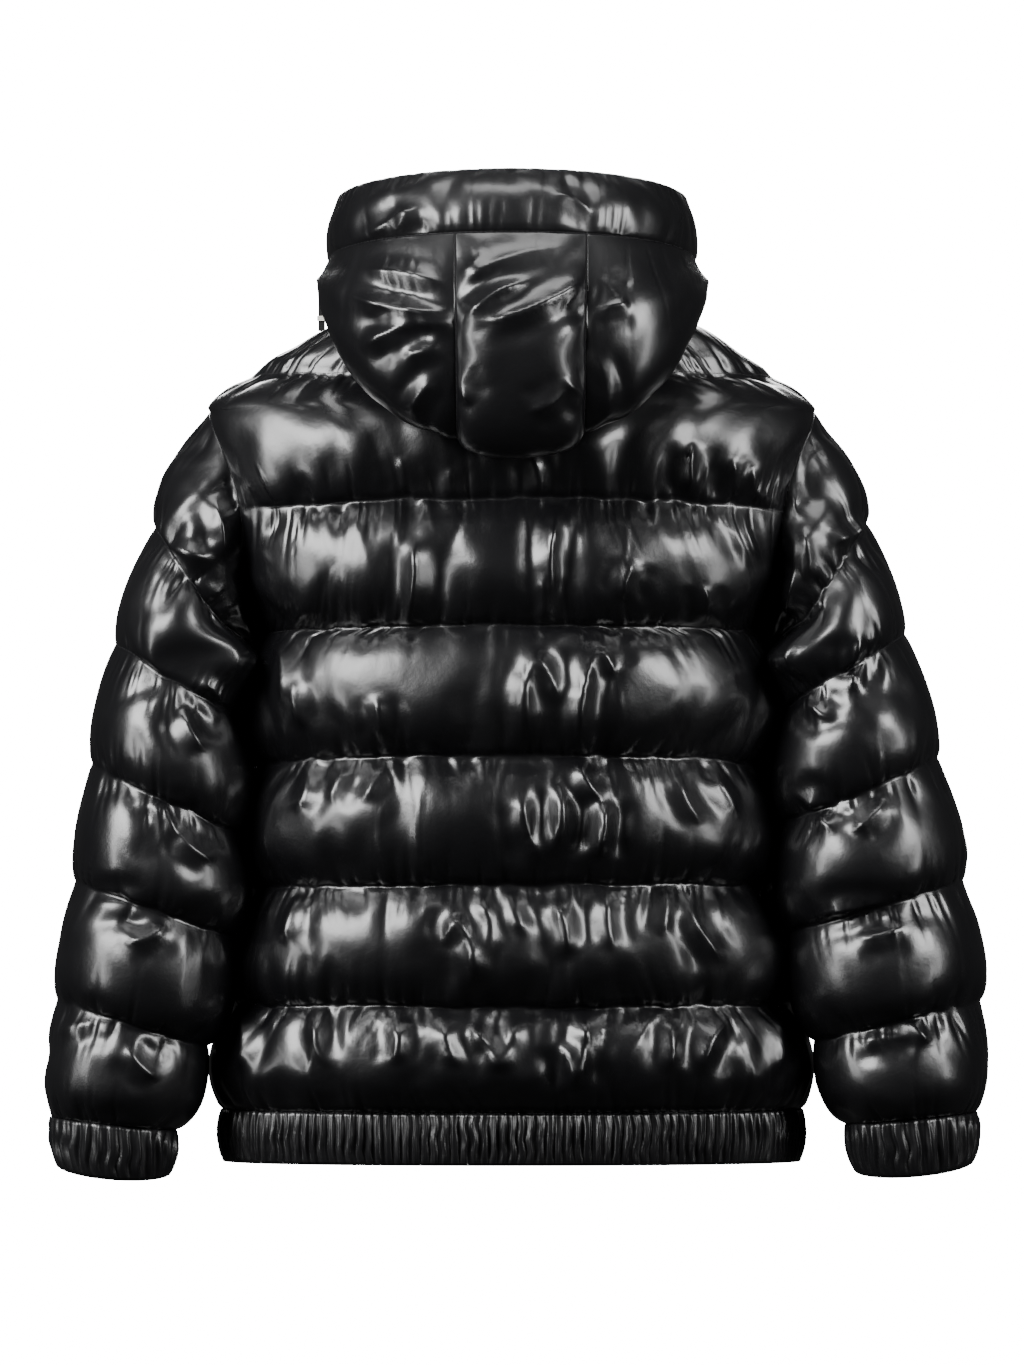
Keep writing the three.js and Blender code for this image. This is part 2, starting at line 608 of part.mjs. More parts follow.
// A band round the hem, from one edge of the zip round the back to the other, in columns
// of even length
function hemGeometry() {
  const around = (share, z) => {
    const turn = share * 4 - 2;
    const side = turn < 0 ? -1 : 1;
    const reach = Math.abs(turn);
    const point = reach <= 1
      ? sectionPoint(z, reach, true)
      : sectionPoint(z, 2 - reach, false, ZIP_EDGE);
    point.x *= side;
    return point;
  };
  const top = bodyRows.at(-1).end;
  const sums = [0];
  for (let k = 1; k <= HEM_SAMPLES; k += 1) {
    const step = around(k / HEM_SAMPLES, top).distanceTo(around((k - 1) / HEM_SAMPLES, top));
    sums.push(sums[k - 1] + step);
  }
  const shareAt = (length) => {
    const k = clamp(sums.findIndex((sum) => sum >= length), 1, HEM_SAMPLES);
    return (k - 1 + (length - sums[k - 1]) / (sums[k] - sums[k - 1])) / HEM_SAMPLES;
  };
  const count = HEM_GATHERS * 2;
  const share = (column) => shareAt(clamp(column / count, 0, 1) * sums.at(-1));
  const point = (column, row) => around(share(column), lerp(top, HEM_BOTTOM, row));
  const outward = (column, row) => {
    const tangent = point(Math.min(column + 1, count), row).sub(point(Math.max(column - 1, 0), row));
    const out = vector(-tangent.y, tangent.x, 0).normalize();
    if (column === 0 || column === count) out.set(0, -1, 0);
    return out;
  };
  return panel({
    rows: GATHER_ROWS,
    columns: Array.from({ length: count + 1 }, (_, k) => k),
    point,
    outward,
    wall: gatherWall,
    innerRows: () => false,
    innerColumns: count / HEM_INNER_COLUMNS,
  });
}

// The hood's plain inside: turn is the angle on the back half, and beyond a quarter turn
// the share of the way to the zip's edge
function hoodPoint(turn, row) {
  const side = Math.sign(turn) || 1;
  const reach = Math.abs(turn);
  const stations = hoodRings.map((ring) => {
    const degrees = reach <= 90 ? reach : lerp(90, zipAngle(ring), (reach - 90) / 90);
    return ovalPoint(ring, degrees);
  });
  const line = new THREE.CatmullRomCurve3(stations, false, 'catmullrom');
  const point = line.getPoint(clamp(row / RIM_RING, 0, 1));
  return vector(side * point.x, point.y, point.z);
}

function hoodOutward(turn, row) {
  const limits = { columns: [-180, 180], rows: [0, RIM_RING] };
  const own = normalOf(hoodPoint, turn, row, SLOPE_STEP.hoodTurn, SLOPE_STEP.hoodRow, limits);
  const reach = Math.abs(turn);
  if (reach > 180 - EVEN) own.x = 0;
  const degrees = reach <= 90 ? reach : lerp(90, zipAngle(neckline), (reach - 90) / 90);
  const neck = neckOutward(Math.sign(turn) * degrees);
  return own.lerp(neck, clamp(1 - row, 0, 1) ** TURN_LATE.hoodNeck).normalize();
}

// Columns of the hood between two turns, the same as the body's at the neck seam
function hoodColumns(from, to) {
  const back = Array.from({ length: BACK_COLUMNS + 1 }, (_, k) => (180 * k) / BACK_COLUMNS - 90);
  const front = Array.from({ length: FRONT_COLUMNS }, (_, k) => 90 + (90 * (k + 1)) / FRONT_COLUMNS);
  const all = [...front.map((turn) => -turn).reverse(), ...back, ...front];
  return all.filter((turn) => turn > from - EVEN && turn < to + EVEN);
}

// The thickness of a crown panel between two turns: its padding falls to the seams
function crownWall(turn, row, from, to) {
  const across = ((turn - from) / (to - from)) * 2 - 1;
  const rings = hoodRings.map((ring, number) => ({ row: number, loft: ring.loft }));
  const loft = Math.max(along(rings, 'row', row, 'loft'), 0);
  return SEAM_WALL + loft * (1 - Math.abs(across) ** CROWN_EDGE_LATE);
}

function crownGeometry(from, to) {
  const steps = BAND_RING * HOOD_STEPS_PER_RING;
  return panel({
    rows: Array.from({ length: steps + 1 }, (_, k) => k / HOOD_STEPS_PER_RING),
    columns: hoodColumns(from, to),
    point: hoodPoint,
    outward: hoodOutward,
    wall: (turn, row) => crownWall(turn, row, from, to),
    innerRows: (row) => Number.isInteger(row),
    innerColumns: HOOD_INNER_STEP,
  });
}

function bandGeometry() {
  return panel({
    rows: Array.from({ length: BAND_ROWS + 1 }, (_, k) => BAND_RING + k / BAND_ROWS),
    columns: hoodColumns(-180, 180),
    point: hoodPoint,
    outward: hoodOutward,
    wall: (turn, row) => {
      const t = lerp(1, BAND_FOLD, row - BAND_RING);
      const toZip = 1 - (Math.abs(turn) / 180) ** BAND_ZIP_LATE;
      const atSide = Math.abs(Math.sin(radians(turn))) ** BAND_SIDE_LATE;
      return SEAM_WALL + lerp(BAND_LOFT, BAND_SIDE_LOFT, atSide) * toZip * puff(t);
    },
    innerRows: () => false,
    innerColumns: HOOD_INNER_STEP,
  });
}

// The middle line of the front, from the hem up to the rim: the zip lies along it
function zipLine() {
  const hem = sectionPoint(HEM_BOTTOM, 0, false);
  const halfRows = Array.from({ length: bodyRows.length * 2 }, (_, k) => bodyRows.length - k / 2);
  const body = halfRows.map((row) => frontPoint(0, row));
  const hood = hoodRings.map((_, row) => hoodPoint(180, row));
  return [hem, ...body, ...hood];
}

function zipGeometry() {
  const line = zipLine();
  const bevel = CHAIN_HALF + CHAIN_BEVEL;
  const columns = [-TAPE_HALF, -bevel, -CHAIN_HALF, CHAIN_HALF, bevel, TAPE_HALF];
  const outward = (x, row) => {
    const slope = line[Math.min(row + 1, line.length - 1)].clone().sub(line[Math.max(row - 1, 0)]);
    return vector(0, -slope.z, slope.y).normalize();
  };
  return panel({
    rows: line.map((_, k) => k),
    columns,
    point: (x, row) => vector(x, line[row].y, line[row].z),
    outward,
    wall: (x) => (Math.abs(x) > CHAIN_HALF ? TAPE_WALL : CHAIN_WALL),
    innerRows: () => true,
    innerColumns: columns.length - 1,
  });
}

// Solid geometry for joining and cutting
function toSolid(geometry) {
  const bare = geometry.clone();
  bare.deleteAttribute('normal');
  bare.deleteAttribute('uv');
  const merged = mergeVertices(bare);
  const mesh = new wasm.Mesh({
    numProp: 3,
    vertProperties: new Float32Array(merged.attributes.position.array),
    triVerts: new Uint32Array(merged.index.array),
  });
  return new wasm.Manifold(mesh);
}

function fromSolid(solid) {
  const mesh = solid.getMesh();
  const geometry = new THREE.BufferGeometry();
  geometry.setAttribute('position', new THREE.BufferAttribute(mesh.vertProperties, 3));
  geometry.setIndex([...mesh.triVerts]);
  geometry.computeVertexNormals();
  return geometry;
}

const box = (width, depth, height, x, y, z) => {
  return new THREE.BoxGeometry(width, depth, height).translate(x, y, z);
};
const rodAlongX = (radius, length, y, z) => {
  const rod = new THREE.CylinderGeometry(radius, radius, length, ROUND_STEPS);
  return rod.rotateZ(Math.PI / 2).translate(0, y, z);
};

// Depths of the slider's back and face, and where the pull's hinge is
function zipFaces() {
  const line = zipLine();
  const ends = [-1, 1].map((side) => along(line, 'z', SLIDER.z + (side * SLIDER.height) / 2, 'y'));
  const back = Math.min(...ends) - CHAIN_WALL - SEAM_GAP;
  const face = back - SLIDER.wall;
  return { back, face, hinge: face - HINGE.standoff, hingeZ: SLIDER.z + SLIDER.height / 4 };
}

function sliderGeometry() {
  const { back, face, hinge, hingeZ } = zipFaces();
  const lugX = HINGE.width / 2 + SEAM_GAP + HINGE.lug / 2;
  const lugDepth = face - hinge + HINGE.barrel;
  const lugY = face + OVERLAP - lugDepth / 2;
  const body = toSolid(box(SLIDER.width, back - face, SLIDER.height, 0, (back + face) / 2, SLIDER.z));
  const lugs = [-1, 1].map((side) => {
    return toSolid(box(HINGE.lug, lugDepth, 2 * HINGE.barrel, side * lugX, lugY, hingeZ));
  });
  const pin = toSolid(rodAlongX(HINGE.radius, 2 * lugX, hinge, hingeZ));
  return fromSolid(body.add(lugs[0]).add(lugs[1]).add(pin));
}

function pullGeometry() {
  const { hinge, hingeZ } = zipFaces();
  const neck = 2 * HINGE.barrel + PULL.shoulder;
  const barrel = toSolid(rodAlongX(HINGE.barrel, HINGE.width, hinge, hingeZ));
  const stem = toSolid(box(HINGE.width, PULL.wall, neck, 0, hinge, hingeZ - neck / 2));
  const tabLength = PULL.length - neck;
  const tabZ = hingeZ - neck - tabLength / 2 + OVERLAP;
  const tab = toSolid(box(PULL.width, PULL.wall, tabLength, 0, hinge, tabZ));
  const eyeRod = new THREE.CylinderGeometry(PULL.eye / 2, PULL.eye / 2, 2 * PULL.wall, ROUND_STEPS);
  const eye = toSolid(eyeRod.translate(0, hinge, hingeZ - PULL.length + PULL.eye + PULL.rim));
  const hole = toSolid(rodAlongX(HINGE.hole, 2 * HINGE.width, hinge, hingeZ));
  return fromSolid(barrel.add(stem).add(tab).subtract(eye).subtract(hole));
}

// The tab's place: beside the hood's side, just clear of its outside
function tabPlace() {
  let reach = 0;
  for (let row = BAND_RING - TAB_SEARCH.rows; row <= BAND_RING; row += TAB_SEARCH.step) {
    const wall = crownWall(90, row, HOOD_SEAM_LEFT, 180);
    const place = hoodPoint(90, row).addScaledVector(hoodOutward(90, row), wall);
    if (place.z < TAB.z + TAB_SEARCH.above) reach = Math.max(reach, place.x);
  }
  return reach + SEAM_GAP;
}

function tabGeometry(x) {
  return box(TAB.width, TAB.wall, TAB.length, x + TAB.width / 2, TAB.y, TAB.z - TAB.length / 2);
}

function tabBandGeometry(x) {
  const clear = 2 * SEAM_GAP;
  const width = TAB.width + clear + 2 * TAB_BAND.wall;
  const depth = TAB.wall + clear + 2 * TAB_BAND.wall;
  const middle = x + TAB.width / 2;
  const slotWidth = TAB.width + clear;
  const slotDepth = TAB.wall + clear;
  const outside = toSolid(box(width, depth, TAB_BAND.height, middle, TAB.y, TAB_BAND.z));
  const slot = toSolid(box(slotWidth, slotDepth, 2 * TAB_BAND.height, middle, TAB.y, TAB_BAND.z));
  return fromSolid(outside.subtract(slot));
}

const jacket = new THREE.Group();

function add(name, geometry, look) {
  const mesh = new THREE.Mesh(geometry, new THREE.MeshStandardMaterial(look));
  mesh.name = name;
  jacket.add(mesh);
}

// The same piece for the wearer's other side
function mirrored(geometry) {
  const copy = geometry.clone();
  copy.scale(-1, 1, 1);
  const index = [...copy.index.array];
  for (let k = 0; k < index.length; k += 3) {
    index.splice(k + 1, 2, index[k + 2], index[k + 1]);
  }
  copy.setIndex(index);
  copy.computeVertexNormals();
  return copy;
}

add('back', backGeometry(), cloth);
add('front_left', frontGeometry(), cloth);
add('front_right', mirrored(frontGeometry()), cloth);
add('sleeve_left', sleeveGeometry(leftSleeveRings), cloth);
add('sleeve_right', mirrored(sleeveGeometry(rightSleeveRings)), cloth);
add('cuff_left', cuffGeometry(leftSleeveRings.at(-1), leftCuffEnd), rib);
add('cuff_right', mirrored(cuffGeometry(rightSleeveRings.at(-1), rightCuffEnd)), rib);
add('hem_band', hemGeometry(), rib);
add('hood_centre', crownGeometry(HOOD_SEAM_RIGHT, HOOD_SEAM_LEFT), cloth);
add('hood_left', crownGeometry(HOOD_SEAM_LEFT, 180), cloth);
add('hood_right', crownGeometry(-180, HOOD_SEAM_RIGHT), cloth);
add('hood_band', bandGeometry(), cloth);
add('zip', zipGeometry(), tape);
add('zip_slider', sliderGeometry(), metal);
add('zip_pull', pullGeometry(), metal);
add('hood_tab', tabGeometry(tabPlace()), tape);
add('hood_tab_band', tabBandGeometry(tabPlace()), pale);

export default jacket;
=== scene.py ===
"""A hooded puffer jacket in glossy black nylon, filled out and seen from behind. The padded
panels are blown up by cloth simulation between their rows of stitches."""

import math

import bpy
import numpy as np
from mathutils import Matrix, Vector
from mathutils.bvhtree import BVHTree


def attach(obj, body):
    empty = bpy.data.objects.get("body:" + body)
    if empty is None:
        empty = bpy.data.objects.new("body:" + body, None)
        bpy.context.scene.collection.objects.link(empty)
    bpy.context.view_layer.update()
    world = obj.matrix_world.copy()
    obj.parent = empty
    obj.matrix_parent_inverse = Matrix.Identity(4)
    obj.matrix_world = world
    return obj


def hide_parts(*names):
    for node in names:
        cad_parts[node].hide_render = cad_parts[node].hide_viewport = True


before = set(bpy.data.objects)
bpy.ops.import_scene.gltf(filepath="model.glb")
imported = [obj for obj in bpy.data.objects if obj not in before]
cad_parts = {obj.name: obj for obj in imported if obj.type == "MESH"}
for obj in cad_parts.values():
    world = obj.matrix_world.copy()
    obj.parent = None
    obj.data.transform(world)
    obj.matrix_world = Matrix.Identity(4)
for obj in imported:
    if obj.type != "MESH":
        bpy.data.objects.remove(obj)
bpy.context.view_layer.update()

bl_info = {
    "name": "Puffer jacket",
    "version": (1, 0, 0),
    "blender": (4, 5, 0),
    "location": "3D view > Sidebar > Jacket",
    "description": "Builds a quilted puffer jacket with a hood round its packed frame",
    "category": "Object",
}

MM = 0.001
BODY = "jacket"


def table(names, *rows):
    """A table with named columns, as one array for each column."""
    return {name: np.array(column, float) for name, column in zip(names.split(), zip(*rows))}


# The jacket's own sizes, in millimetres: rows of quilting on the body, its plan sections,
# the sleeves' seams, the cuffs' ends and the hood's rings, all on the plain inside.
BODY_ROWS = table(
    "row middle end",
    (1, -32, -38),
    (2, -136, -146),
    (3, -238, -245),
    (4, -344, -357),
    (5, -449, -455),
    (6, -548, -551),
    (7, -635, -635),
)
BODY_SECTIONS = table(
    "z half back front side",
    (-678, 233, 102, -104, -25),
    (-635, 235, 104, -106, -25),
    (-600, 233, 108, -109, -25),
    (-548, 227, 112, -114, -25),
    (-500, 216, 115, -117, -27),
    (-449, 212, 118, -120, -30),
    (-344, 210, 122, -124, -30),
    (-290, 211, 123, -125, -29),
    (-245, 206, 124, -126, -26),
    (-209, 212, 124, -122, -20),
    (-135, 222, 116, -106, -11),
    (-106, 231, 108, -98, -8),
    (-65, 246, 96, -84, -5),
    (-50, 232, 92, -80, -4),
    (-38, 212, 88, -76, -3),
)
SLEEVE_COLUMNS = "outer_x outer_z inner_x inner_z depth y loft"
LEFT_SLEEVE = table(
    SLEEVE_COLUMNS,
    (291, -156, 227, -258, 75, 3, 7),
    (324, -252, 222.5, -318, 73, 14, 4),
    (343, -351, 221.5, -412, 71, 23, 4),
    (357, -447, 227.5, -494, 69, 26, 4),
    (372, -544, 249, -582, 65, 26, 4),
    (377, -640, 275, -651, 54, 26, 5),
    (372, -679, 280, -686, 48, 26, 0),
)
RIGHT_SLEEVE = table(
    SLEEVE_COLUMNS,
    (289, -153, 227, -258, 75, 3, 7),
    (321, -245, 222.5, -310, 74, 14, 4),
    (348, -346, 221.5, -402, 73, 23, 5),
    (369, -447, 227.5, -490, 71, 26, 5),
    (383, -545, 247, -577, 67, 26, 4),
    (380, -636, 273, -646, 55, 26, 5),
    (377, -676, 281, -684, 49, 26, 0),
)
HOOD_RINGS = table(
    "row half back front z_back z_side z_front square fall loft",
    (0, 92, 68, -72, 12, 20, -22, 1, 1, 0),
    (1, 99, 78, -76, 34, 32, -14, 0.9, 1, 2),
    (2, 107, 100, -81, 37, 39, -6, 0.75, 1.4, 3),
    (3, 118, 126, -85, 4, 41, 2, 0.6, 1.8, 4),
    (4, 128, 147, -89, -50, 38, 10, 0.5, 1.6, 5),
    (5, 138, 176, -93, -91, 34, 18, 0.38, 1, 7),
    (6, 142, 205, -96, -66, 36, 25, 0.4, 1, 9),
    (7, 144, 212, -98, 2, 43, 32, 0.5, 1, 11),
    (8, 147, 186, -100, 78, 60, 40, 0.6, 1, 0),
    (9, 140, 152, -104, 129, 108, 92, 0.6, 1, 2),
)
SEAM_GAP = 0.3
SEAM_WALL = 3.0
FULLNESS = 2.25
PUFF_DROOP = 1.45
PUFF_ROUND = 0.6
PUFF_SLOPE = 0.28
BACK_LOFT = 24
FRONT_LOFT = 20
SIDE_LOFT = 9
LOFT_SPREAD = 2.4
SHOULDER_LOFT = 8
ZIP_EDGE_LOFT = 2
ARMHOLE_TOP = -65
ARMHOLE_BOTTOM = -245
ARMHOLE_BACK = 76
ARMHOLE_FRONT = 60
ARMHOLE_TILT = 0.5
SLEEVE_SIDE_LOFT = 16
SLEEVE_INNER_LOFT = 8
SLEEVE_ARM_LOFT = 3
CUFF_DROP = 8
CUFF_GATHERS = 28
HEM_BOTTOM = -678
HEM_GATHERS = 144
HOOD_SEAM_LEFT = 18
HOOD_SEAM_RIGHT = -24
BAND_RING = 8
RIM_RING = 9
BAND_LOFT = 11
BAND_SIDE_LOFT = 4
ZIP_EDGE = 6
ZIP_FACE = 2.7

# Long folds that stand out of the padding, from one end to the other, seen from behind
FOLD_COLUMNS = "x z to_x to_z depth"
BACK_FOLDS = table(
    FOLD_COLUMNS,
    (91, -104, 89, -132, 2.5),
    (49, -111, 47, -135, 2.5),
    (-16, -102, -22, -134, 3),
    (-147, -92, -146, -132, 4),
    (-178, -104, -181, -135, 2.5),
    (-196, -111, -201, -138, 2.5),
    (80, -172, 85, -239, 5),
    (-37, -147, -34, -216, 5),
    (-25, -199, -24, -236, 3),
    (-98, -187, -90, -217, 3.5),
    (-156, -208, -156, -236, 2.5),
    (-187, -141, -199, -184, 3),
    (189, -249, 188, -300, 3),
    (177, -285, 171, -321, 2.5),
    (110, -297, 107, -331, 3),
    (-19, -261, -10, -331, 5),
    (-19, -261, -37, -300, 4),
    (-68, -258, -54, -343, 5),
    (-71, -258, -83, -279, 3),
    (-8, -377, -21, -428, 5),
    (-40, -371, -33, -423, 5),
    (-54, -349, -71, -380, 4),
    (-71, -380, -70, -425, 4.5),
    (-81, -380, -71, -425, 3),
    (163, -355, 175, -390, 2.5),
    (133, -355, 148, -381, 2.5),
    (108, -353, 120, -380, 2.5),
    (-135, -364, -153, -399, 2.5),
    (-162, -361, -182, -393, 2.5),
    (170, -455, 184, -496, 3),
    (43, -475, 30, -529, 5),
    (43, -475, 56, -498, 3),
    (24, -459, 18, -505, 3.5),
    (2, -453, -8, -488, 3),
    (-36, -463, -43, -507, 5),
    (-78, -456, -81, -501, 3),
    (-125, -453, -122, -488, 2.5),
    (-141, -459, -170, -512, 3.5),
    (220, -552, 222, -599, 3),
    (160, -555, 151, -596, 3),
    (94, -562, 94, -594, 3),
    (55, -562, 46, -596, 3),
    (33, -564, 11, -599, 4),
    (11, -599, -2, -558, 4),
    (-40, -577, -51, -613, 4.5),
    (-51, -613, -59, -555, 4.5),
    (-128, -558, -127, -599, 3),
    (-176, -555, -152, -601, 4),
    (-214, -555, -217, -602, 3),
)
# Folds of the hood's crown
HOOD_FOLDS = table(
    FOLD_COLUMNS,
    (118, 48, 49, 33, 4),
    (128, 27, 50, 14, 4),
    (119, -14, 77, 4, 3.5),
    (77, 4, 45, 7, 3),
    (82, -67, 62, -42, 3),
    (87, -21, 57, -12, 2.5),
    (41, 6, -10, 38, 3.5),
    (27, 4, -65, 43, 4),
    (36, 41, -42, 68, 3),
    (43, 43, 22, 64, 2.5),
    (-40, 15, -65, 34, 2.5),
    (-14, -67, -42, -51, 2.5),
    (-42, -42, -65, -65, 3),
    (45, -35, 34, -60, 3),
    (-65, 13, -95, 20, 2.5),
    (-72, 41, -86, 27, 2),
    (-67, -21, -76, -72, 3),
)
# Folds of the hood's rim band
BAND_FOLDS = table(
    FOLD_COLUMNS,
    (121, 68, 77, 98, 3),
    (98, 75, 82, 96, 2.5),
    (-35, 110, -65, 94, 2),
)

# Folds of the sleeves
SLEEVE_FOLDS = table(
    FOLD_COLUMNS,
    (241, -135, 235, -184, 4.2),
    (285, -172, 244, -184, 3.5),
    (256, -283, 230, -316, 4.2),
    (268, -308, 252, -340, 4.2),
    (289, -377, 274, -410, 4.2),
    (274, -406, 244, -430, 2.8),
    (342, -467, 297, -467, 3.5),
    (313, -496, 280, -484, 3.5),
    (371, -570, 326, -562, 2.8),
    (313, -582, 289, -607, 3.5),
    (-236, -160, -243, -201, 4.2),
    (-261, -172, -294, -156, 3.5),
    (-277, -291, -284, -250, 4.2),
    (-236, -291, -261, -316, 4.2),
    (-228, -373, -261, -406, 4.2),
    (-277, -406, -302, -381, 3.5),
    (-248, -476, -314, -473, 4.2),
    (-281, -492, -318, -484, 3.5),
    (-277, -578, -322, -574, 3.5),
    (-322, -554, -339, -578, 3.5),
    (212, -80, 207, -145, 4.2),
    (-226, -75, -232, -150, 4.2),
    (-228, -160, -224, -235, 4.2),
)

# A long fold's width and height, how far it bows, and the trough on each side of it
FOLD_WIDTH = 5.5
FOLD_HEIGHT = 1.6
FOLD_BOW = 0.06
TROUGH = 0.45
TROUGH_PLACE = 2.6
TROUGH_WIDTH = 1.3

# Fine creases: pinches that run off the seams, and ridges across the baffles
PINCH_DEPTH = 4.6
PINCH_PITCH = 8
PINCH_REACH = 10
PINCH_SPREAD = 9
RIDGE_HEIGHT = 2.4
RIDGE_PITCH = 32
RIDGE_REACH = 60
BAFFLE_STEP = 37.3

# Steps of the grids down each baffle, and how many points there are across or round
BODY_GRID = (14, 25, 25, 26, 25, 24, 22)
BACK_ACROSS = 133
FRONT_ACROSS = 65
SLEEVE_GRID = (22, 21, 23, 23, 22, 20)
SLEEVE_AROUND = 108
HOOD_GRID = (6, 6, 10, 13, 12, 10, 15, 18)
BAND_GRID = (18, 221)
HEM_GRID = (15, 1153)
CUFF_GRID = (14, 252)
HIDDEN_STEP = 6

# How the cloth is blown up, and how far its points may move
START_PUFF = 0.8
START_UNEVEN = 0.16
GRAIN = 0.35
SIM_FRAMES = 24
MOVE_CAP = 8.0
MOVE_SHARE = 0.6
EVEN_PASSES = 3
CLOTH = {
    "quality": 4,
    "mass": 0.15,
    "air_damping": 2,
    "tension_stiffness": 12,
    "compression_stiffness": 12,
    "shear_stiffness": 4,
    "bending_stiffness": 0.05,
    "tension_damping": 4,
    "compression_damping": 4,
    "shear_damping": 3,
    "bending_damping": 0.3,
    "use_pressure": True,
    "pin_stiffness": 1,
}

# Rows kept clear of the body, and where a sleeve is led in to the body's side
HOOD_CLEAR_ROWS = (10, 60)
SLEEVE_CLEAR_ROW = 4
SLEEVE_CLEAR_BELOW = ARMHOLE_BOTTOM + 15
TUCK = 18
TUCK_HEIGHT = -263
TUCK_REACH = 20

# Gathered bands, stitches and teeth
GATHER_WALL = 6.0
GATHER_HEIGHT = 2.2
GATHER_FULLNESS = 1.35
CUFF_HEIGHT = 40
THREAD_LIFT = 0.1
TOOTH_SIDE = 0.75

# Cells a metre in the patterns: duller patches 110 mm wide, a crinkle each 13 mm, and a
# weave, pits and fuzz of about 1 mm, as coarse as they have to be to show
PATCHES = 9.0
CRINKLES = 75.0
WEAVE = 900.0
PITS = 800.0
FUZZ = 1500.0

# The stage: floor and tent in mm, lamps by angle, height angle, distance and size in m and
# power in W, and the photograph's frame
FLOOR_RADIUS = 5000
FLOOR_HEIGHT = -1100
TENT_RADIUS = 30000
TENT_GLOW = 20.0
LAMPS = (
    ("Softbox left", 52, 30, 2.8, (1.4, 1.2), 130),
    ("Softbox right", -50, 26, 2.8, (0.8, 1.2), 62),
    ("Top light", 0, 80, 2.6, (1.6, 0.9), 34),
    ("Low strip left", 62, 4, 2.6, (0.35, 1.3), 22),
    ("Low strip right", -62, 4, 2.6, (0.35, 1.3), 16),
    ("Front softbox", 180, 30, 3.0, (1.6, 1.2), 90),
)
CAMERA_DISTANCE = 12.0
PHOTO_ROWS = 1365
PHOTO_ZERO_ROW = 335
PHOTO_SCALE = 0.82


def along(rows, key, at, name):
    """A column of a table at places between its rows, on a smooth curve."""
    x = rows[key]
    y = rows[name]
    if x[0] > x[-1]:
        x = x[::-1]
        y = y[::-1]
    at = np.clip(np.asarray(at, float), x[0], x[-1])
    last = len(x) - 1
    number = np.arange(len(x))
    before = np.maximum(number - 1, 0)
    after = np.minimum(number + 1, last)
    slope = (y[after] - y[before]) / (x[after] - x[before])
    i = np.clip(np.searchsorted(x, at) - 1, 0, last - 1)
    span = x[i + 1] - x[i]
    t = (at - x[i]) / span
    rise = y[i + 1] - y[i]
    bend = (1 - t) * (slope[i] * span - rise) - t * (slope[i + 1] * span - rise)
    return y[i] + rise * t + t * (1 - t) * bend


def puff(t):
    """Height of the padding between two seams, fullest below the middle."""
    return np.maximum(np.sin(np.pi * np.clip(t, 0, 1) ** PUFF_DROOP), 0) ** PUFF_ROUND


def unit(vectors):
    """Vectors of length one."""
    return vectors / np.maximum(np.linalg.norm(vectors, axis=-1, keepdims=True), 1e-9)


def mix(a, b, share):
    """Between a and b, where share is 0 at a and 1 at b."""
    return a + (b - a) * share


def armhole_angle(z):
    """Angle round the armhole at a height, 0 at the shoulder and pi under the arm."""
    middle = (ARMHOLE_TOP + ARMHOLE_BOTTOM) / 2
    half = (ARMHOLE_TOP - ARMHOLE_BOTTOM) / 2
    return np.arccos(np.clip((z - middle) / half, -1, 1))


def section_point(z, share, to_back, start=0.0):
    """A point of a body section: share is 0 at the middle and 1 at the panel's edge."""
    z, share = np.broadcast_arrays(np.asarray(z, float), np.asarray(share, float))
    side = along(BODY_SECTIONS, "z", z, "side")
    edge = along(BODY_SECTIONS, "z", z, "half")
    reach = along(BODY_SECTIONS, "z", z, "back" if to_back else "front") - side
    beside = (z > ARMHOLE_BOTTOM) & (z < ARMHOLE_TOP)
    depth = np.where(beside, np.sin(armhole_angle(z)), 0) * (ARMHOLE_BACK if to_back else ARMHOLE_FRONT)
    full = edge / (1 - (depth / np.abs(reach)) ** FULLNESS) ** (1 / FULLNESS)
    power = 2 / FULLNESS
    first = np.arcsin((start / full) ** (1 / power))
    last = np.arcsin(np.clip((edge / full) ** (1 / power), 0, 1))
    angle = mix(first, last, share)
    across = full * np.sin(angle) ** power
    return np.stack([across, side + reach * np.maximum(np.cos(angle), 0) ** power, z], -1)


def oval_points(row, degrees):
    """Points of one ring of the hood at angles, 0 at the back and 180 at the front."""
    ring = {name: column[row] for name, column in HOOD_RINGS.items()}
    sine = np.sin(np.radians(degrees))
    cosine = np.cos(np.radians(degrees))
    behind = np.maximum(cosine, 0)
    before = np.maximum(-cosine, 0)
    y = ring["back"] * behind ** ring["square"] * (cosine >= 0) + ring["front"] * before
    drop = (ring["z_back"] - ring["z_side"]) * behind ** ring["fall"]
    dip = (ring["z_front"] - ring["z_side"]) * before
    return np.stack([ring["half"] * sine, y, ring["z_side"] + drop + dip], -1)


def zip_angle(row):
    """The angle on a ring of the hood where the zip's edge is."""
    return 180 - math.degrees(math.asin(ZIP_EDGE / HOOD_RINGS["half"][row]))


def body_heights(row):
    """Heights of a body row at its middle and at its end."""
    rows = np.maximum(row, 1)
    return (
        np.interp(rows, BODY_ROWS["row"], BODY_ROWS["middle"]),
        np.interp(rows, BODY_ROWS["row"], BODY_ROWS["end"]),
    )


def body_points(across, row, to_back):
    """The plain inside of the back, or of a front on the wearer's left."""
    across, row = np.meshgrid(across, row)
    share = np.abs(across)
    middle, end = body_heights(row)
    z = mix(middle, end, share * share)
    points = section_point(z, share, to_back, 0.0 if to_back else ZIP_EDGE)
    degrees = 90 * share if to_back else mix(zip_angle(0), 90, share)
    yoke = np.clip(1 - row, 0, 1)[..., None]
    points = mix(points, oval_points(0, degrees), yoke)
    if to_back:
        points[..., 0] *= np.where(across < 0, -1, 1)
    return points


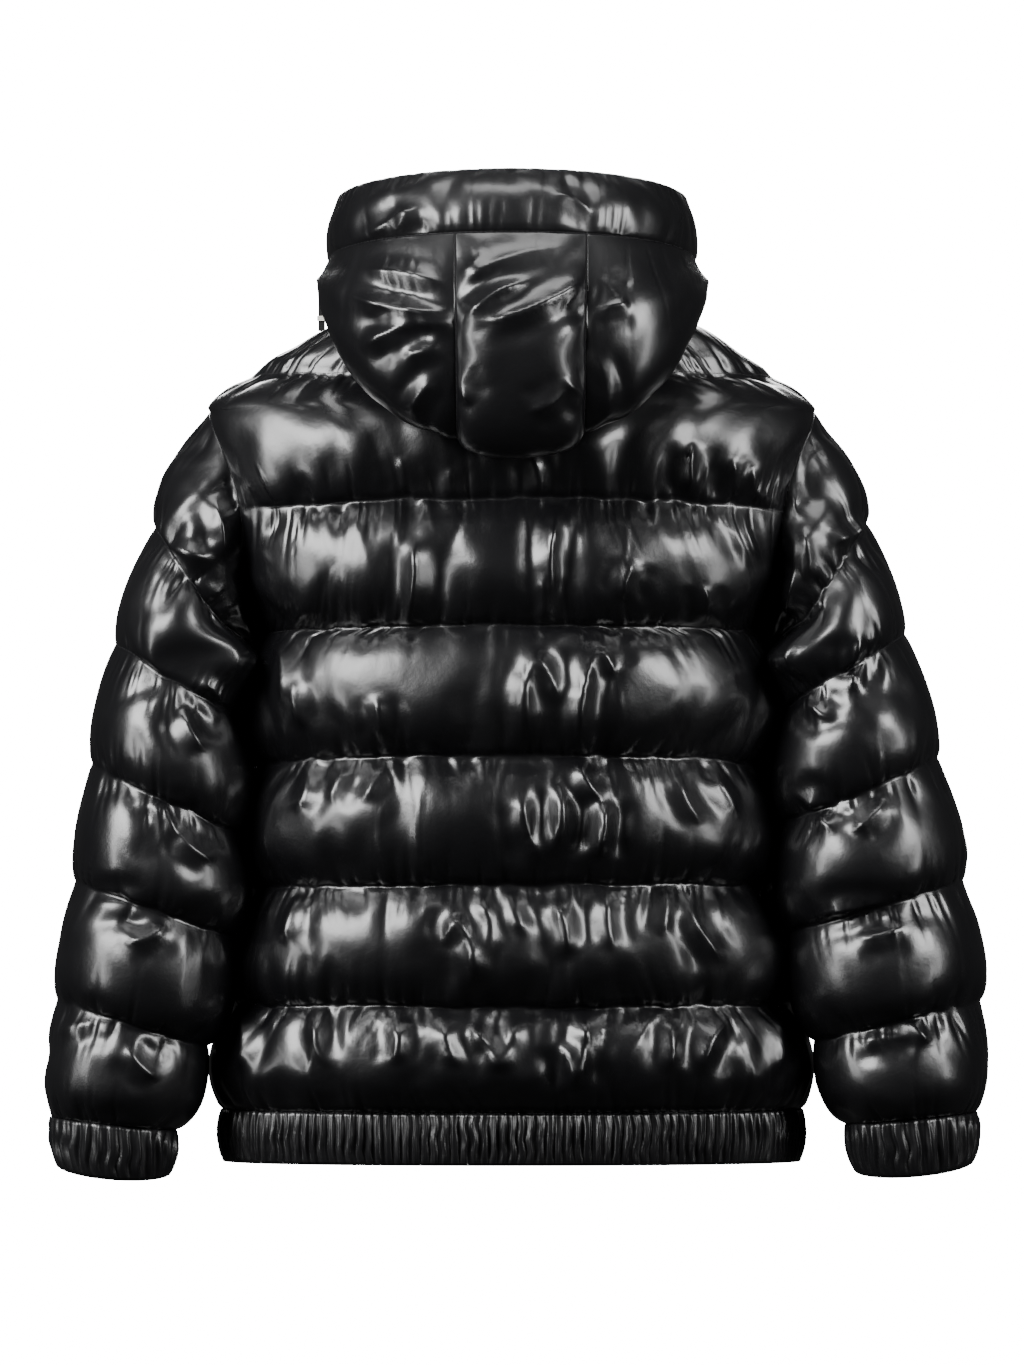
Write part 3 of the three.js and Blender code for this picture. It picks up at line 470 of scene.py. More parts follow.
def neck_outward(degrees):
    """The way out at the neck seam."""
    angle = np.radians(degrees)
    return unit(np.stack([np.sin(angle), np.cos(angle), np.full_like(angle, 0.1)], -1))


def armhole_outward(angle):
    """The way out that the body and the sleeve share at the armhole seam."""
    angle = np.asarray(angle, float)
    return unit(np.stack([np.full_like(angle, ARMHOLE_TILT), np.sin(angle), np.cos(angle)], -1))


def body_edge_outward(row, to_back):
    """The way out along the outer edge of a body panel."""
    z = body_heights(row)[1]
    side = 1 if to_back else -1
    edge = armhole_outward(armhole_angle(z) * side)
    below = np.clip((ARMHOLE_BOTTOM - z) / 30, 0, 1)[..., None]
    edge = mix(edge, np.array([1.0, 0, 0]), below)
    yoke = (np.clip(1 - row, 0, 1) ** 2)[..., None]
    return unit(mix(edge, neck_outward(np.full_like(row, 90.0)), yoke))


def grid_outward(points, sign, ring=False):
    """The way out of a grid of points, from its slopes."""
    if ring:
        wide = np.concatenate([points[:, -1:], points, points[:, :1]], 1)
        over = (wide[:, 2:] - wide[:, :-2]) / 2
    else:
        over = np.gradient(points, axis=1)
    down = np.gradient(points, axis=0)
    return unit(np.cross(over, down) * sign)


def body_outward(points, across, row, to_back):
    """The way out of a body panel, shared with its neighbours at its seams."""
    own = grid_outward(points, 1 if to_back else -1)
    across, row = np.meshgrid(across, row)
    share = np.abs(across)
    edge = body_edge_outward(row, to_back)
    edge[..., 0] *= np.where(across < 0, -1, 1)
    own = mix(own, edge, (share**12)[..., None])
    own[..., 2] *= 1 - np.clip(row - 6, 0, 1) ** 6
    if not to_back:
        own[..., 0] *= np.clip(share * 40, 0, 1)
    degrees = 90 * across if to_back else mix(zip_angle(0), 90, share)
    return unit(mix(own, neck_outward(degrees), (np.clip(1 - row, 0, 1) ** 4)[..., None]))


def row_lengths(points, row, seams):
    """The height of the baffle that each point is in, measured up the panel."""
    steps = np.linalg.norm(np.diff(points, axis=0), axis=-1)
    travelled = np.concatenate([np.zeros((1, points.shape[1])), np.cumsum(steps, 0)])
    upper = np.minimum(np.floor(row + 1e-6), seams - 1)
    starts = [np.searchsorted(row, k - 1e-6) for k in range(seams + 1)]
    starts = np.minimum(starts, len(row) - 1)
    heights = np.stack([travelled[starts[k + 1]] - travelled[starts[k]] for k in range(seams)])
    return heights[upper.astype(int)], row - upper


def body_wall(points, across, row, to_back):
    """The loft of a body panel above its seam wall."""
    height, t = row_lengths(points, row, 7)
    share = np.abs(across)[None, :]
    z = body_heights(row)[1]
    shoulder = SHOULDER_LOFT * np.clip((z - ARMHOLE_TOP) / (BODY_ROWS["end"][0] - ARMHOLE_TOP), 0, 1)
    edge = np.where(z < ARMHOLE_BOTTOM, SIDE_LOFT, shoulder)[:, None]
    middle = BACK_LOFT if to_back else mix(FRONT_LOFT, ZIP_EDGE_LOFT, (1 - share) ** 8)
    loft = mix(edge, middle, 1 - share**LOFT_SPREAD)
    return np.minimum(loft, PUFF_SLOPE * height) * puff(t)[:, None]


def sleeve_ring(rings, number, angle, drop=0.0):
    """A ring of a sleeve's plain inside: 0 on its outer line, pi on its inner line."""
    ring = {name: column[number] for name, column in rings.items()}
    outer = np.array([ring["outer_x"], ring["y"], ring["outer_z"]])
    inner = np.array([ring["inner_x"], ring["y"], ring["inner_z"]])
    middle = (outer + inner) / 2
    reach = outer - middle
    reach *= 1 - SEAM_WALL / np.linalg.norm(reach)
    points = middle + reach * np.cos(angle)[:, None]
    points[:, 1] += (ring["depth"] - SEAM_WALL) * np.sin(angle)
    points[:, 2] -= drop * np.abs(np.sin(angle))
    return points


def ring_outward(rings, number, angle):
    """The way out of a ring, level with its own plane."""
    ring = {name: column[number] for name, column in rings.items()}
    across = np.array([ring["outer_x"] - ring["inner_x"], 0, ring["outer_z"] - ring["inner_z"]]) / 2
    out = across / np.dot(across, across) * np.cos(angle)[:, None]
    out[:, 1] = np.sin(angle) / ring["depth"]
    return unit(out)


def armhole_points(angle):
    """Where the armhole seam lies, on the back for angles up to pi and then on the front."""
    middle = (ARMHOLE_TOP + ARMHOLE_BOTTOM) / 2
    half = (ARMHOLE_TOP - ARMHOLE_BOTTOM) / 2
    z = middle + half * np.cos(angle)
    reach = np.where(np.sin(angle) > 0, ARMHOLE_BACK, ARMHOLE_FRONT)
    y = along(BODY_SECTIONS, "z", z, "side") + reach * np.sin(angle)
    return np.stack([along(BODY_SECTIONS, "z", z, "half"), y, z], -1)


def spline(stations, row, centripetal):
    """Points on a smooth curve through stations, with one row number for each of them."""
    first = 2 * stations[0] - stations[1]
    last = 2 * stations[-1] - stations[-2]
    wide = np.concatenate([first[None], stations, last[None]])
    i = np.clip(np.floor(row).astype(int), 0, len(stations) - 2)
    t = (row - i)[:, None, None]
    a, b, c, d = wide[i], wide[i + 1], wide[i + 2], wide[i + 3]
    if centripetal:
        pairs = ((a, b), (b, c), (c, d))
        gaps = [np.linalg.norm(q - p, axis=-1, keepdims=True) ** 0.5 for p, q in pairs]
        before = (b - a) / gaps[0] - (c - a) / (gaps[0] + gaps[1]) + (c - b) / gaps[1]
        after = (c - b) / gaps[1] - (d - b) / (gaps[1] + gaps[2]) + (d - c) / gaps[2]
        start, end = before * gaps[1], after * gaps[1]
    else:
        start, end = (c - a) / 2, (d - b) / 2
    rise = c - b
    return b + start * t + (3 * rise - 2 * start - end) * t**2 + (start + end - 2 * rise) * t**3


def hood_points(turn, row):
    """The hood's plain inside: turn is the angle at the back, and beyond 90 the share of
    the way on to the zip's edge."""
    reach = np.abs(turn)
    stations = []
    for number in range(RIM_RING + 1):
        degrees = np.where(reach <= 90, reach, mix(90, zip_angle(number), (reach - 90) / 90))
        stations.append(oval_points(number, degrees))
    points = spline(np.stack(stations), row, False)
    points[..., 0] *= np.where(turn < 0, -1, 1)
    return points


def hood_outward(points, turn, row):
    """The way out of the hood, shared with the body at the neck seam."""
    own = grid_outward(points, -1)
    own[..., 0] *= np.clip((180 - np.abs(turn)) * 2, 0, 1)
    reach = np.abs(turn)
    degrees = np.where(reach <= 90, reach, mix(90, zip_angle(0), (reach - 90) / 90)) * np.sign(turn)
    neck = np.broadcast_to(neck_outward(degrees), own.shape)
    return unit(mix(own, neck, (np.clip(1 - row, 0, 1) ** 3)[:, None, None]))


def noise_field(shape, seed, cells):
    """Smooth seeded noise from -1 to 1 over a grid, with this many cells along and across."""
    rng = np.random.default_rng(seed)
    coarse = rng.uniform(-1, 1, (cells[0] + 4, cells[1] + 4))
    rows = np.linspace(1, cells[0] + 2, shape[0])
    columns = np.linspace(1, cells[1] + 2, shape[1])

    def cubic(values, places):
        i = np.clip(np.floor(places).astype(int), 1, len(values) - 3)
        t = (places - i).reshape((-1,) + (1,) * (values.ndim - 1))
        a, b, c, d = values[i - 1], values[i], values[i + 1], values[i + 2]
        bend = t**2 * (a - 2.5 * b + 2 * c - d / 2)
        return b + t * (c - a) / 2 + bend + t**3 * (b * 1.5 - c * 1.5 + (d - a) / 2)

    return cubic(cubic(coarse, rows).T, columns).T


def distances(line):
    """How far along a line each of its points lies."""
    steps = np.linalg.norm(np.diff(line, axis=0), axis=1)
    return np.concatenate([[0], np.cumsum(steps)])

def placed(line, at, places):
    """Points of a line at other places along it."""
    return np.stack([np.interp(places, at, line[:, k]) for k in range(3)], -1)

def strip(upper, lower, points, flip):
    """Triangles that join two lines of point numbers, which run the same way."""

    def shares(line):
        at = distances(points[line])
        return at / at[-1]

    upper_at = np.append(shares(upper), np.inf)
    lower_at = np.append(shares(lower), np.inf)
    faces = []
    i = j = 0
    while i < len(upper) - 1 or j < len(lower) - 1:
        if upper_at[i + 1] <= lower_at[j + 1]:
            face = [upper[i], upper[i + 1], lower[j]]
            i += 1
        else:
            face = [upper[i], lower[j + 1], lower[j]]
            j += 1
        faces.append(face[::-1] if flip else face)
    return faces


def grid_faces(numbers, ring, flip):
    """Quads of a grid of point numbers."""
    if ring:
        numbers = np.concatenate([numbers, numbers[:, :1]], 1)
    quads = np.stack([numbers[:-1, :-1], numbers[1:, :-1], numbers[1:, 1:], numbers[:-1, 1:]], -1)
    quads = quads.reshape(-1, 4)
    return (quads[:, ::-1] if flip else quads).tolist()


def new_object(name, points, faces, edges=()):
    """A mesh object in metres from points in millimetres."""
    mesh = bpy.data.meshes.new(name)
    mesh.from_pydata((points * MM).tolist(), list(edges), faces)
    mesh.update()
    piece = bpy.data.objects.new(name, mesh)
    bpy.context.scene.collection.objects.link(piece)
    return piece


def smooth(piece):
    """Smooth shading all over."""
    piece.data.polygons.foreach_set("use_smooth", [True] * len(piece.data.polygons))


def volume_of(points, faces):
    """Six times the volume inside closed faces, below zero where they point inwards."""
    volume = 0.0
    for size in (3, 4):
        corners = np.array([face for face in faces if len(face) == size])
        for k in range(1, size - 1):
            a, b, c = points[corners[:, 0]], points[corners[:, k]], points[corners[:, k + 1]]
            volume += np.einsum("ij,ij->", a, np.cross(b, c))
    return volume


def closed_wall(name, outer, inner, ring):
    """A closed wall from an outer and an inner grid, and the numbers of its outer points."""
    points = np.concatenate([outer.reshape(-1, 3), inner.reshape(-1, 3)])
    outer_at = np.arange(outer[..., 0].size).reshape(outer.shape[:2])
    inner_at = outer[..., 0].size + np.arange(inner[..., 0].size).reshape(inner.shape[:2])
    faces = grid_faces(outer_at, ring, False) + grid_faces(inner_at, ring, True)
    loop = (lambda line: np.append(line, line[0])) if ring else (lambda line: line)
    faces += strip(loop(outer_at[0]), loop(inner_at[0]), points, False)
    faces += strip(loop(outer_at[-1]), loop(inner_at[-1]), points, True)
    if not ring:
        faces += strip(outer_at[:, -1], inner_at[:, -1], points, False)
        faces += strip(outer_at[:, 0], inner_at[:, 0], points, True)
    turned = volume_of(points, faces) < 0
    if turned:
        faces = [face[::-1] for face in faces]
    return new_object(name, points, faces), outer_at, turned


def doubled(values, ring=False):
    """The values with a smooth one between each two rows."""
    if ring:
        wide = np.concatenate([values[-1:], values, values[:2]])
    else:
        wide = np.concatenate([2 * values[:1] - values[1:2], values, 2 * values[-1:] - values[-2:-1]])
    middle = (9 * (wide[1:-2] + wide[2:-1]) - wide[:-3] - wide[3:]) / 16
    count = len(values) * 2 - (0 if ring else 1)
    out = np.empty((count, *values.shape[1:]))
    out[0::2] = values
    out[1::2] = middle
    return out


def evened(moves, free, ring):
    """The moves without their smallest crumples, and none on the seams."""
    for _ in range(EVEN_PASSES):
        across = "wrap" if ring else "edge"
        wide = np.pad(moves, ((0, 0), (1, 1), (0, 0)), mode=across)
        moves = (2 * moves + wide[:, :-2] + wide[:, 2:]) / 4
        tall = np.pad(moves, ((1, 1), (0, 0), (0, 0)), mode="edge")
        moves = (2 * moves + tall[:-2] + tall[2:]) / 4 * free[..., None]
    return moves


def tucked(points, side):
    """The sleeve's points, the inner side below the armhole led in to the body."""
    out = points.copy()
    x = points[..., 0] * side
    inner = np.clip((x.mean(1, keepdims=True) - x) / 25, 0, 1)
    near = np.exp(-(((points[..., 2] - TUCK_HEIGHT) / TUCK_REACH) ** 2))
    late = np.clip(np.arange(len(points)) / 8, 0, 1)[:, None]
    out[..., 0] -= side * TUCK * inner * near * late
    return out


def long_folds(points, outward, loft, folds):
    """Heights of tent-like folds along lines that are seen from behind."""
    x, z = points[..., 0], points[..., 2]
    raised = np.zeros(x.shape)
    for k in range(len(folds["x"])):
        ax, az = folds["x"][k], folds["z"][k]
        dx, dz = folds["to_x"][k] - ax, folds["to_z"][k] - az
        length = math.hypot(dx, dz)
        share = ((x - ax) * dx + (z - az) * dz) / length**2
        bow = FOLD_BOW * length * np.sin(np.pi * np.clip(share, 0, 1)) * (1 if k % 2 else -1)
        away = ((x - ax) * dz - (z - az) * dx) / length + bow
        taper = np.clip(np.minimum(share + 0.12, 1.12 - share) / 0.4, 0, 1)
        taper = taper * taper * (3 - 2 * taper)
        wide = FOLD_WIDTH * (0.7 + 0.1 * folds["depth"][k])
        ridge = np.exp(-np.abs(away / wide) ** 1.05)
        trough = np.exp(-(((np.abs(away) - TROUGH_PLACE * wide) / (TROUGH_WIDTH * wide)) ** 2))
        raised += FOLD_HEIGHT * folds["depth"][k] * taper * (ridge - TROUGH * trough)
    return raised * np.clip(outward[..., 1] * 2, 0, 1) * np.clip(loft / 6, 0, 1)


def wave_noise(u, v, seed):
    """Smooth seeded noise from -1 to 1 at places u, v, with cells of size one."""
    rng = np.random.default_rng(seed)
    values = rng.uniform(-1, 1, (256, 256))
    i, j = np.floor(u).astype(int), np.floor(v).astype(int)
    s, t = u - i, v - j
    s, t = s * s * (3 - 2 * s), t * t * (3 - 2 * t)
    i, j = i % 256, j % 256
    k, l = (i + 1) % 256, (j + 1) % 256
    low = values[i, j] * (1 - s) + values[k, j] * s
    high = values[i, l] * (1 - s) + values[k, l] * s
    return low * (1 - t) + high * t


def grid_places(base):
    """How far over and down a panel each grid point lies, and how far down each row does."""
    over = np.linalg.norm(np.diff(base, axis=1), axis=-1).mean(0)
    down = np.linalg.norm(np.diff(base, axis=0), axis=-1).mean(1)
    over, down = (np.concatenate([[0], np.cumsum(steps)]) for steps in (over, down))
    return (*np.meshgrid(over, down), down)


def sparse(grid, step, ring):
    """Every few rows and columns of a grid, and its last ones."""
    rows, columns = grid.shape[:2]
    keep_rows = sorted({*range(0, rows, step[0]), rows - 1})
    keep_columns = sorted({*range(0, columns, step[1])} | (set() if ring else {columns - 1}))
    return grid[np.ix_(keep_rows, keep_columns)]


def seam_creases(base, loft, seams, seed):
    """The pinched creases that run off the seams, and the longer ones across a baffle, as
    heights to add to the outside."""
    place, height, down = grid_places(base)
    from_seam = np.min([np.abs(height - down[k]) for k in seams], axis=0)
    band = np.searchsorted(np.asarray(seams), np.arange(len(down)), side="right")[:, None] * BAFFLE_STEP
    slant = 12 * wave_noise(place / 45, height / 60 + band, seed + 5)
    fold = np.abs(wave_noise((place + slant) / PINCH_PITCH, height / 120 + band, seed))
    valleys = -(np.clip(1 - 3.0 * fold, 0, 1) ** 1.3)
    reach = PINCH_REACH + PINCH_SPREAD * (1 + wave_noise(place / 13, height / 300 + band, seed + 6))
    pinch = PINCH_DEPTH * valleys * np.exp(-((from_seam / reach) ** 1.5))
    slope = 26 * wave_noise(place / 90, height / 80 + band, seed + 8)
    line = np.abs(wave_noise((place + slope) / RIDGE_PITCH, height / 150 + band, seed + 7))
    ridges = np.clip(1 - 5 * line, 0, 1) ** 1.3
    where = np.clip(1.8 * wave_noise(place / 60, height / 70 + band, seed + 9), 0, 1)
    across = RIDGE_HEIGHT * ridges * where * np.exp(-from_seam / RIDGE_REACH)
    return (pinch + across) * np.clip(loft / 4, 0, 1)


def seam_waver(base, seams, seed):
    """How far the quilting lines stray down and up, in mm; the sewn edges stay straight."""
    place, height, down = grid_places(base)
    stray = np.zeros(place.shape)
    for number in seams[1:-1]:
        line = 1.3 * wave_noise(place / 13, 0 * place + number, seed + 21)
        line += 1.6 * wave_noise(place / 42, 0 * place + number, seed + 22)
        stray += line * np.exp(-(((height - down[number]) / 14) ** 2))
    return stray


class Quilted:
    """A padded panel that is blown up between its seams."""

    every = []

    def __init__(
        self,
        name,
        base,
        outward,
        loft,
        seams,
        ring=False,
        seed=0,
        inner_step=(10, 8),
        crumple=1.0,
        slack=1.0,
    ):
        self.name = name
        self.seed = seed
        self.crumple = crumple
        self.folds = None
        self.calm = np.ones(loft.shape)
        self.inner_step = inner_step
        self.base = base
        self.outward = outward
        self.loft = loft
        self.ring = ring
        self.seams = seams
        self.slack = slack
        rows, columns = loft.shape
        rough = 1 + START_UNEVEN * noise_field(loft.shape, seed, (rows // 8, columns // 8))
        plain = SEAM_WALL + START_PUFF * loft * rough
        start = plain + crumple * seam_creases(base, loft, seams, seed)
        grain = np.random.default_rng(seed).uniform(-1, 1, loft.shape)
        start += GRAIN * grain * np.clip(loft / 4, 0, 1)
        self.outer = base + outward * start[..., None]
        inner = sparse(base, inner_step, ring)
        self.piece, self.numbers, self.turned = closed_wall(name, self.outer, inner, ring)
        pins = np.ones(len(self.piece.data.vertices))
        free = np.ones(loft.shape, bool)
        free[seams] = False
        if not ring:
            free[:, [0, -1]] = False
        pins[self.numbers[free]] = 0
        group = self.piece.vertex_groups.new(name="stitched")
        group.add([int(k) for k in np.flatnonzero(pins)], 1.0, "REPLACE")
        self.free = free
        self.start = base + outward * plain[..., None]
        self.cap = np.minimum(MOVE_CAP, 1.0 + MOVE_SHARE * loft)
        Quilted.every.append(self)

    def fill(self, sizes):
        """Adds the cloth that pressure blows up."""
        cloth = self.piece.modifiers.new("Filling", "CLOTH")
        set_up = cloth.settings
        set_up.shrink_min = -sizes.fullness * self.slack
        for name, value in CLOTH.items():
            setattr(set_up, name, value)
        set_up.uniform_pressure_force = sizes.pressure
        set_up.effector_weights.gravity = 0
        set_up.vertex_group_mass = "stitched"
        cloth.collision_settings.use_collision = False
        cloth.point_cache.frame_start = 1
        cloth.point_cache.frame_end = SIM_FRAMES

    def settle(self):
        """Keeps the blown-up form, with each point's move held within its cap."""
        depsgraph = bpy.context.evaluated_depsgraph_get()
        filled = self.piece.evaluated_get(depsgraph).data
        places = np.empty(len(filled.vertices) * 3)
        filled.vertices.foreach_get("co", places)
        places = places.reshape(-1, 3) / MM
        move = places[self.numbers] - self.outer
        length = np.maximum(np.linalg.norm(move, axis=-1), 1e-6)
        held = self.cap * np.tanh(length / self.cap)
        swelling = self.outer + move * (held / length)[..., None] - self.start
        self.surface = self.start + evened(swelling, self.free, self.ring)
        self.piece.modifiers.clear()

    def keep_clear(self, others, rows, gap=1.0, below=1000):
        """Moves points of the rows from this one on out of the other panels, so far that the
        gap is left between them."""
        for other in others:
            corners = [Vector(point) for point in other.surface.reshape(-1, 3)]
            numbers = np.arange(len(corners)).reshape(other.loft.shape)
            tree = BVHTree.FromPolygons(corners, grid_faces(numbers, other.ring, other.turned))
            flat = self.surface.reshape(-1, 3)
            columns = self.loft.shape[1]
            for k in range(rows[0] * columns, rows[1] * columns):
                if flat[k][2] > below:
                    continue
                place, normal, _, _ = tree.find_nearest(Vector(flat[k]), 25)
                if place is None:
                    continue
                depth = (Vector(flat[k]) - place).dot(normal)
                if depth < gap:
                    flat[k] += np.array(normal) * (gap - depth)

    def refine(self, sizes):
        """Doubles the grid, adds the fine creases and folds, and makes the final mesh."""
        fine = {}
        for name in ("surface", "outward", "base", "loft", "calm"):
            values = getattr(self, name)
            parts = []
            for top, bottom in zip(self.seams[:-1], self.seams[1:]):
                part = doubled(values[top : bottom + 1])
                parts.append(part if not parts else part[1:])
            values = np.concatenate(parts)
            fine[name] = np.swapaxes(doubled(np.swapaxes(values, 0, 1), self.ring), 0, 1)
        outward = unit(fine["outward"])
        seams = 2 * np.asarray(self.seams)
        raised = seam_creases(fine["base"], fine["loft"], seams, self.seed)
        raised *= sizes.gathers * self.crumple
        if self.folds is not None:
            raised += long_folds(fine["surface"], outward, fine["loft"], self.folds)
        self.surface = fine["surface"] + outward * (raised * np.clip(fine["calm"], 0, 1))[..., None]
        self.surface[..., 2] += sizes.gathers * seam_waver(fine["base"], seams, self.seed)
        self.outward, self.seams = outward, seams
        inner = sparse(fine["base"], [2 * step for step in self.inner_step], self.ring)
        bpy.data.objects.remove(self.piece)
        self.piece = closed_wall(self.name, self.surface, inner, self.ring)[0]


def finish_soft(piece, material):
    """Shades a soft piece and gives it its cloth."""
    smooth(piece)
    piece.data.materials.clear()
    piece.data.materials.append(material)


def even_rows(counts):
    """Row numbers with this many steps in each baffle."""
    parts = [k + np.arange(1, count + 1) / count for k, count in enumerate(counts)]
    return np.concatenate([[0.0], *parts])


def linear(hex_colour):
    """A linear colour from an sRGB hex value."""
    value = hex_colour.lstrip("#")
    parts = [int(value[k : k + 2], 16) / 255 for k in (0, 2, 4)]
    return [p / 12.92 if p <= 0.04045 else ((p + 0.055) / 1.055) ** 2.4 for p in parts] + [1.0]


def add_node(tree, kind, inputs=None, links=None, **settings):
    """A node with its settings, its inputs' values and the sockets that feed it."""
    node = tree.nodes.new(kind)
    for name, value in settings.items():
        setattr(node, name, value)
    for name, value in (inputs or {}).items():
        node.inputs[name].default_value = value
    for name, source in (links or {}).items():
        tree.links.new(source, node.inputs[name])
    return node


def new_material(name, slot):
    """An empty node material, with its shader and its output."""
    material = bpy.data.materials.new(name)
    material.use_nodes = True
    material["slot"] = slot
    tree = material.node_tree
    tree.nodes.clear()
    shader = add_node(tree, "ShaderNodeBsdfPrincipled")
    add_node(tree, "ShaderNodeOutputMaterial", links={"Surface": shader.outputs[0]})
    return material, tree, shader


def coated_nylon(name, slot, colour, roughness, coat):
    """Nylon taffeta with a glossy coating: a dark even face with long soft highlights, and
    a slight crinkle that breaks them up."""
    material, tree, shader = new_material(name, slot)
    shader.inputs["Base Color"].default_value = linear(colour)
    shader.inputs["IOR"].default_value = 1.53
    shader.inputs["Coat Weight"].default_value = coat
    shader.inputs["Coat Roughness"].default_value = 0.21
    shader.inputs["Coat IOR"].default_value = 1.5
    place = add_node(tree, "ShaderNodeTexCoord")
    patches = add_node(
        tree, "ShaderNodeTexNoise", {"Scale": PATCHES, "Detail": 3.0}, {"Vector": place.outputs["Object"]}
    )
    wear = add_node(
        tree,
        "ShaderNodeMapRange",
        {"From Min": 0.3, "From Max": 0.7, "To Min": roughness - 0.05, "To Max": roughness + 0.07},
        {"Value": patches.outputs["Fac"]},
    )
    tree.links.new(wear.outputs["Result"], shader.inputs["Roughness"])
    crinkle = add_node(
        tree,
        "ShaderNodeTexNoise",
        {"Scale": CRINKLES, "Detail": 4.0, "Roughness": 0.55},
        {"Vector": place.outputs["Object"]},
    )
    weave = add_node(
        tree, "ShaderNodeTexNoise", {"Scale": WEAVE, "Detail": 1.0}, {"Vector": place.outputs["Object"]}
    )
    soft = add_node(
        tree, "ShaderNodeBump", {"Strength": 0.35, "Distance": 0.0012}, {"Height": crinkle.outputs["Fac"]}
    )
    fine = add_node(
        tree,
        "ShaderNodeBump",
        {"Strength": 0.12, "Distance": 0.00015},
        {"Height": weave.outputs["Fac"], "Normal": soft.outputs["Normal"]},
    )
    tree.links.new(fine.outputs["Normal"], shader.inputs["Normal"])
    return material


def woven(name, slot, colour, roughness, pitch):
    """Woven tape: matt, with a fine ribbed weave across it."""
    material, tree, shader = new_material(name, slot)
    place = add_node(tree, "ShaderNodeTexCoord")
    rib = add_node(
        tree,
        "ShaderNodeTexWave",
        {"Scale": 1 / (pitch * MM) / 6.283, "Distortion": 0.6, "Detail": 1.0},
        {"Vector": place.outputs["Object"]},
        bands_direction="Z",
    )
    shade = add_node(tree, "ShaderNodeMix", {"Factor": 0.3}, data_type="RGBA")
    shade.inputs[6].default_value = linear(colour)
    shade.inputs[7].default_value = [c * 1.5 for c in linear(colour)[:3]] + [1]
    tree.links.new(rib.outputs["Fac"], shade.inputs["Factor"])
    tree.links.new(shade.outputs[2], shader.inputs["Base Color"])
    shader.inputs["Roughness"].default_value = roughness
    bump = add_node(
        tree, "ShaderNodeBump", {"Strength": 0.5, "Distance": 0.0002}, {"Height": rib.outputs["Fac"]}
    )
    tree.links.new(bump.outputs["Normal"], shader.inputs["Normal"])
    return material


def enamelled_metal(name, slot, colour):
    """Die-cast zinc with black enamel: smooth, with slight pitting."""
    material, tree, shader = new_material(name, slot)
    shader.inputs["Base Color"].default_value = linear(colour)
    shader.inputs["Metallic"].default_value = 0.9
    place = add_node(tree, "ShaderNodeTexCoord")
    pits = add_node(
        tree, "ShaderNodeTexNoise", {"Scale": PITS, "Detail": 2.0}, {"Vector": place.outputs["Object"]}
    )
    wear = add_node(
        tree, "ShaderNodeMapRange", {"To Min": 0.22, "To Max": 0.45}, {"Value": pits.outputs["Fac"]}
    )
    tree.links.new(wear.outputs["Result"], shader.inputs["Roughness"])
    bump = add_node(
        tree, "ShaderNodeBump", {"Strength": 0.2, "Distance": 0.0001}, {"Height": pits.outputs["Fac"]}
    )
    tree.links.new(bump.outputs["Normal"], shader.inputs["Normal"])
    return material


def sewing_thread(name, slot, colour):
    """Spun polyester thread: matt, slightly lighter than the cloth."""
    material, tree, shader = new_material(name, slot)
    shader.inputs["Roughness"].default_value = 0.6
    place = add_node(tree, "ShaderNodeTexCoord")
    fuzz = add_node(tree, "ShaderNodeTexNoise", {"Scale": FUZZ}, {"Vector": place.outputs["Object"]})
    shade = add_node(tree, "ShaderNodeMix", data_type="RGBA")
    shade.inputs[6].default_value = linear(colour)
    shade.inputs[7].default_value = [c * 1.6 for c in linear(colour)[:3]] + [1]
    tree.links.new(fuzz.outputs["Fac"], shade.inputs["Factor"])
    tree.links.new(shade.outputs[2], shader.inputs["Base Color"])
    return material


class Finishes:
    """The jacket's materials, made once."""

    made = {}

    @classmethod
    def get(cls, name):
        """The material of this name, made at its first use."""
        sizes = bpy.context.scene.jacket
        colour, dull = sizes.cloth_colour, sizes.roughness
        makers = {
            "cloth": lambda: coated_nylon("Coated nylon", "cloth", colour, dull, 0.35),
            "gathered": lambda: coated_nylon(
                "Gathered nylon", "gathered_cloth", colour, dull + 0.04, 0.25
            ),
            "tape": lambda: woven("Woven tape", "zip_tape", "#0d0d0e", 0.8, 0.8),
            "metal": lambda: enamelled_metal("Enamelled zinc", "zip_metal", "#1b1b1d"),
            "pale": lambda: woven("Pale woven band", "tab_band", "#d6d3cb", 0.7, 0.7),
            "thread": lambda: sewing_thread("Sewing thread", "cloth", "#161618"),
        }
        if name not in cls.made:
            cls.made[name] = makers[name]()
        return cls.made[name]


class JacketSizes(bpy.types.PropertyGroup):
    """What a user may change."""

    cloth_colour: bpy.props.StringProperty(
        name="Cloth colour", description="sRGB hex value of the nylon", default="#0c0c0e"
    )
    roughness: bpy.props.FloatProperty(
        name="Roughness", description="How dull the nylon's gloss is", default=0.32, min=0.1, max=0.8
    )
    pressure: bpy.props.FloatProperty(
        name="Filling pressure",
        description="How hard the padding pushes the cloth out",
        default=6.0,
        min=0,
        max=30,
    )
    fullness: bpy.props.FloatProperty(
        name="Extra cloth",
        description="How much longer the cloth is than its seams",
        default=0.085,
        min=0,
        max=0.3,
    )
    gathers: bpy.props.FloatProperty(
        name="Gathers", description="Depth of the creases at the seams", default=0.7, min=0, max=2
    )
    stitch: bpy.props.FloatProperty(
        name="Stitch length", description="Length of one stitch", default=0.0032, unit="LENGTH"
    )
    tooth: bpy.props.FloatProperty(
        name="Tooth pitch", description="Distance between the zip's teeth", default=0.0028, unit="LENGTH"
    )


def seam_rows(row):
    """Which rows of a grid are seams."""
    return np.flatnonzero(np.abs(row - np.round(row)) < 1e-6)


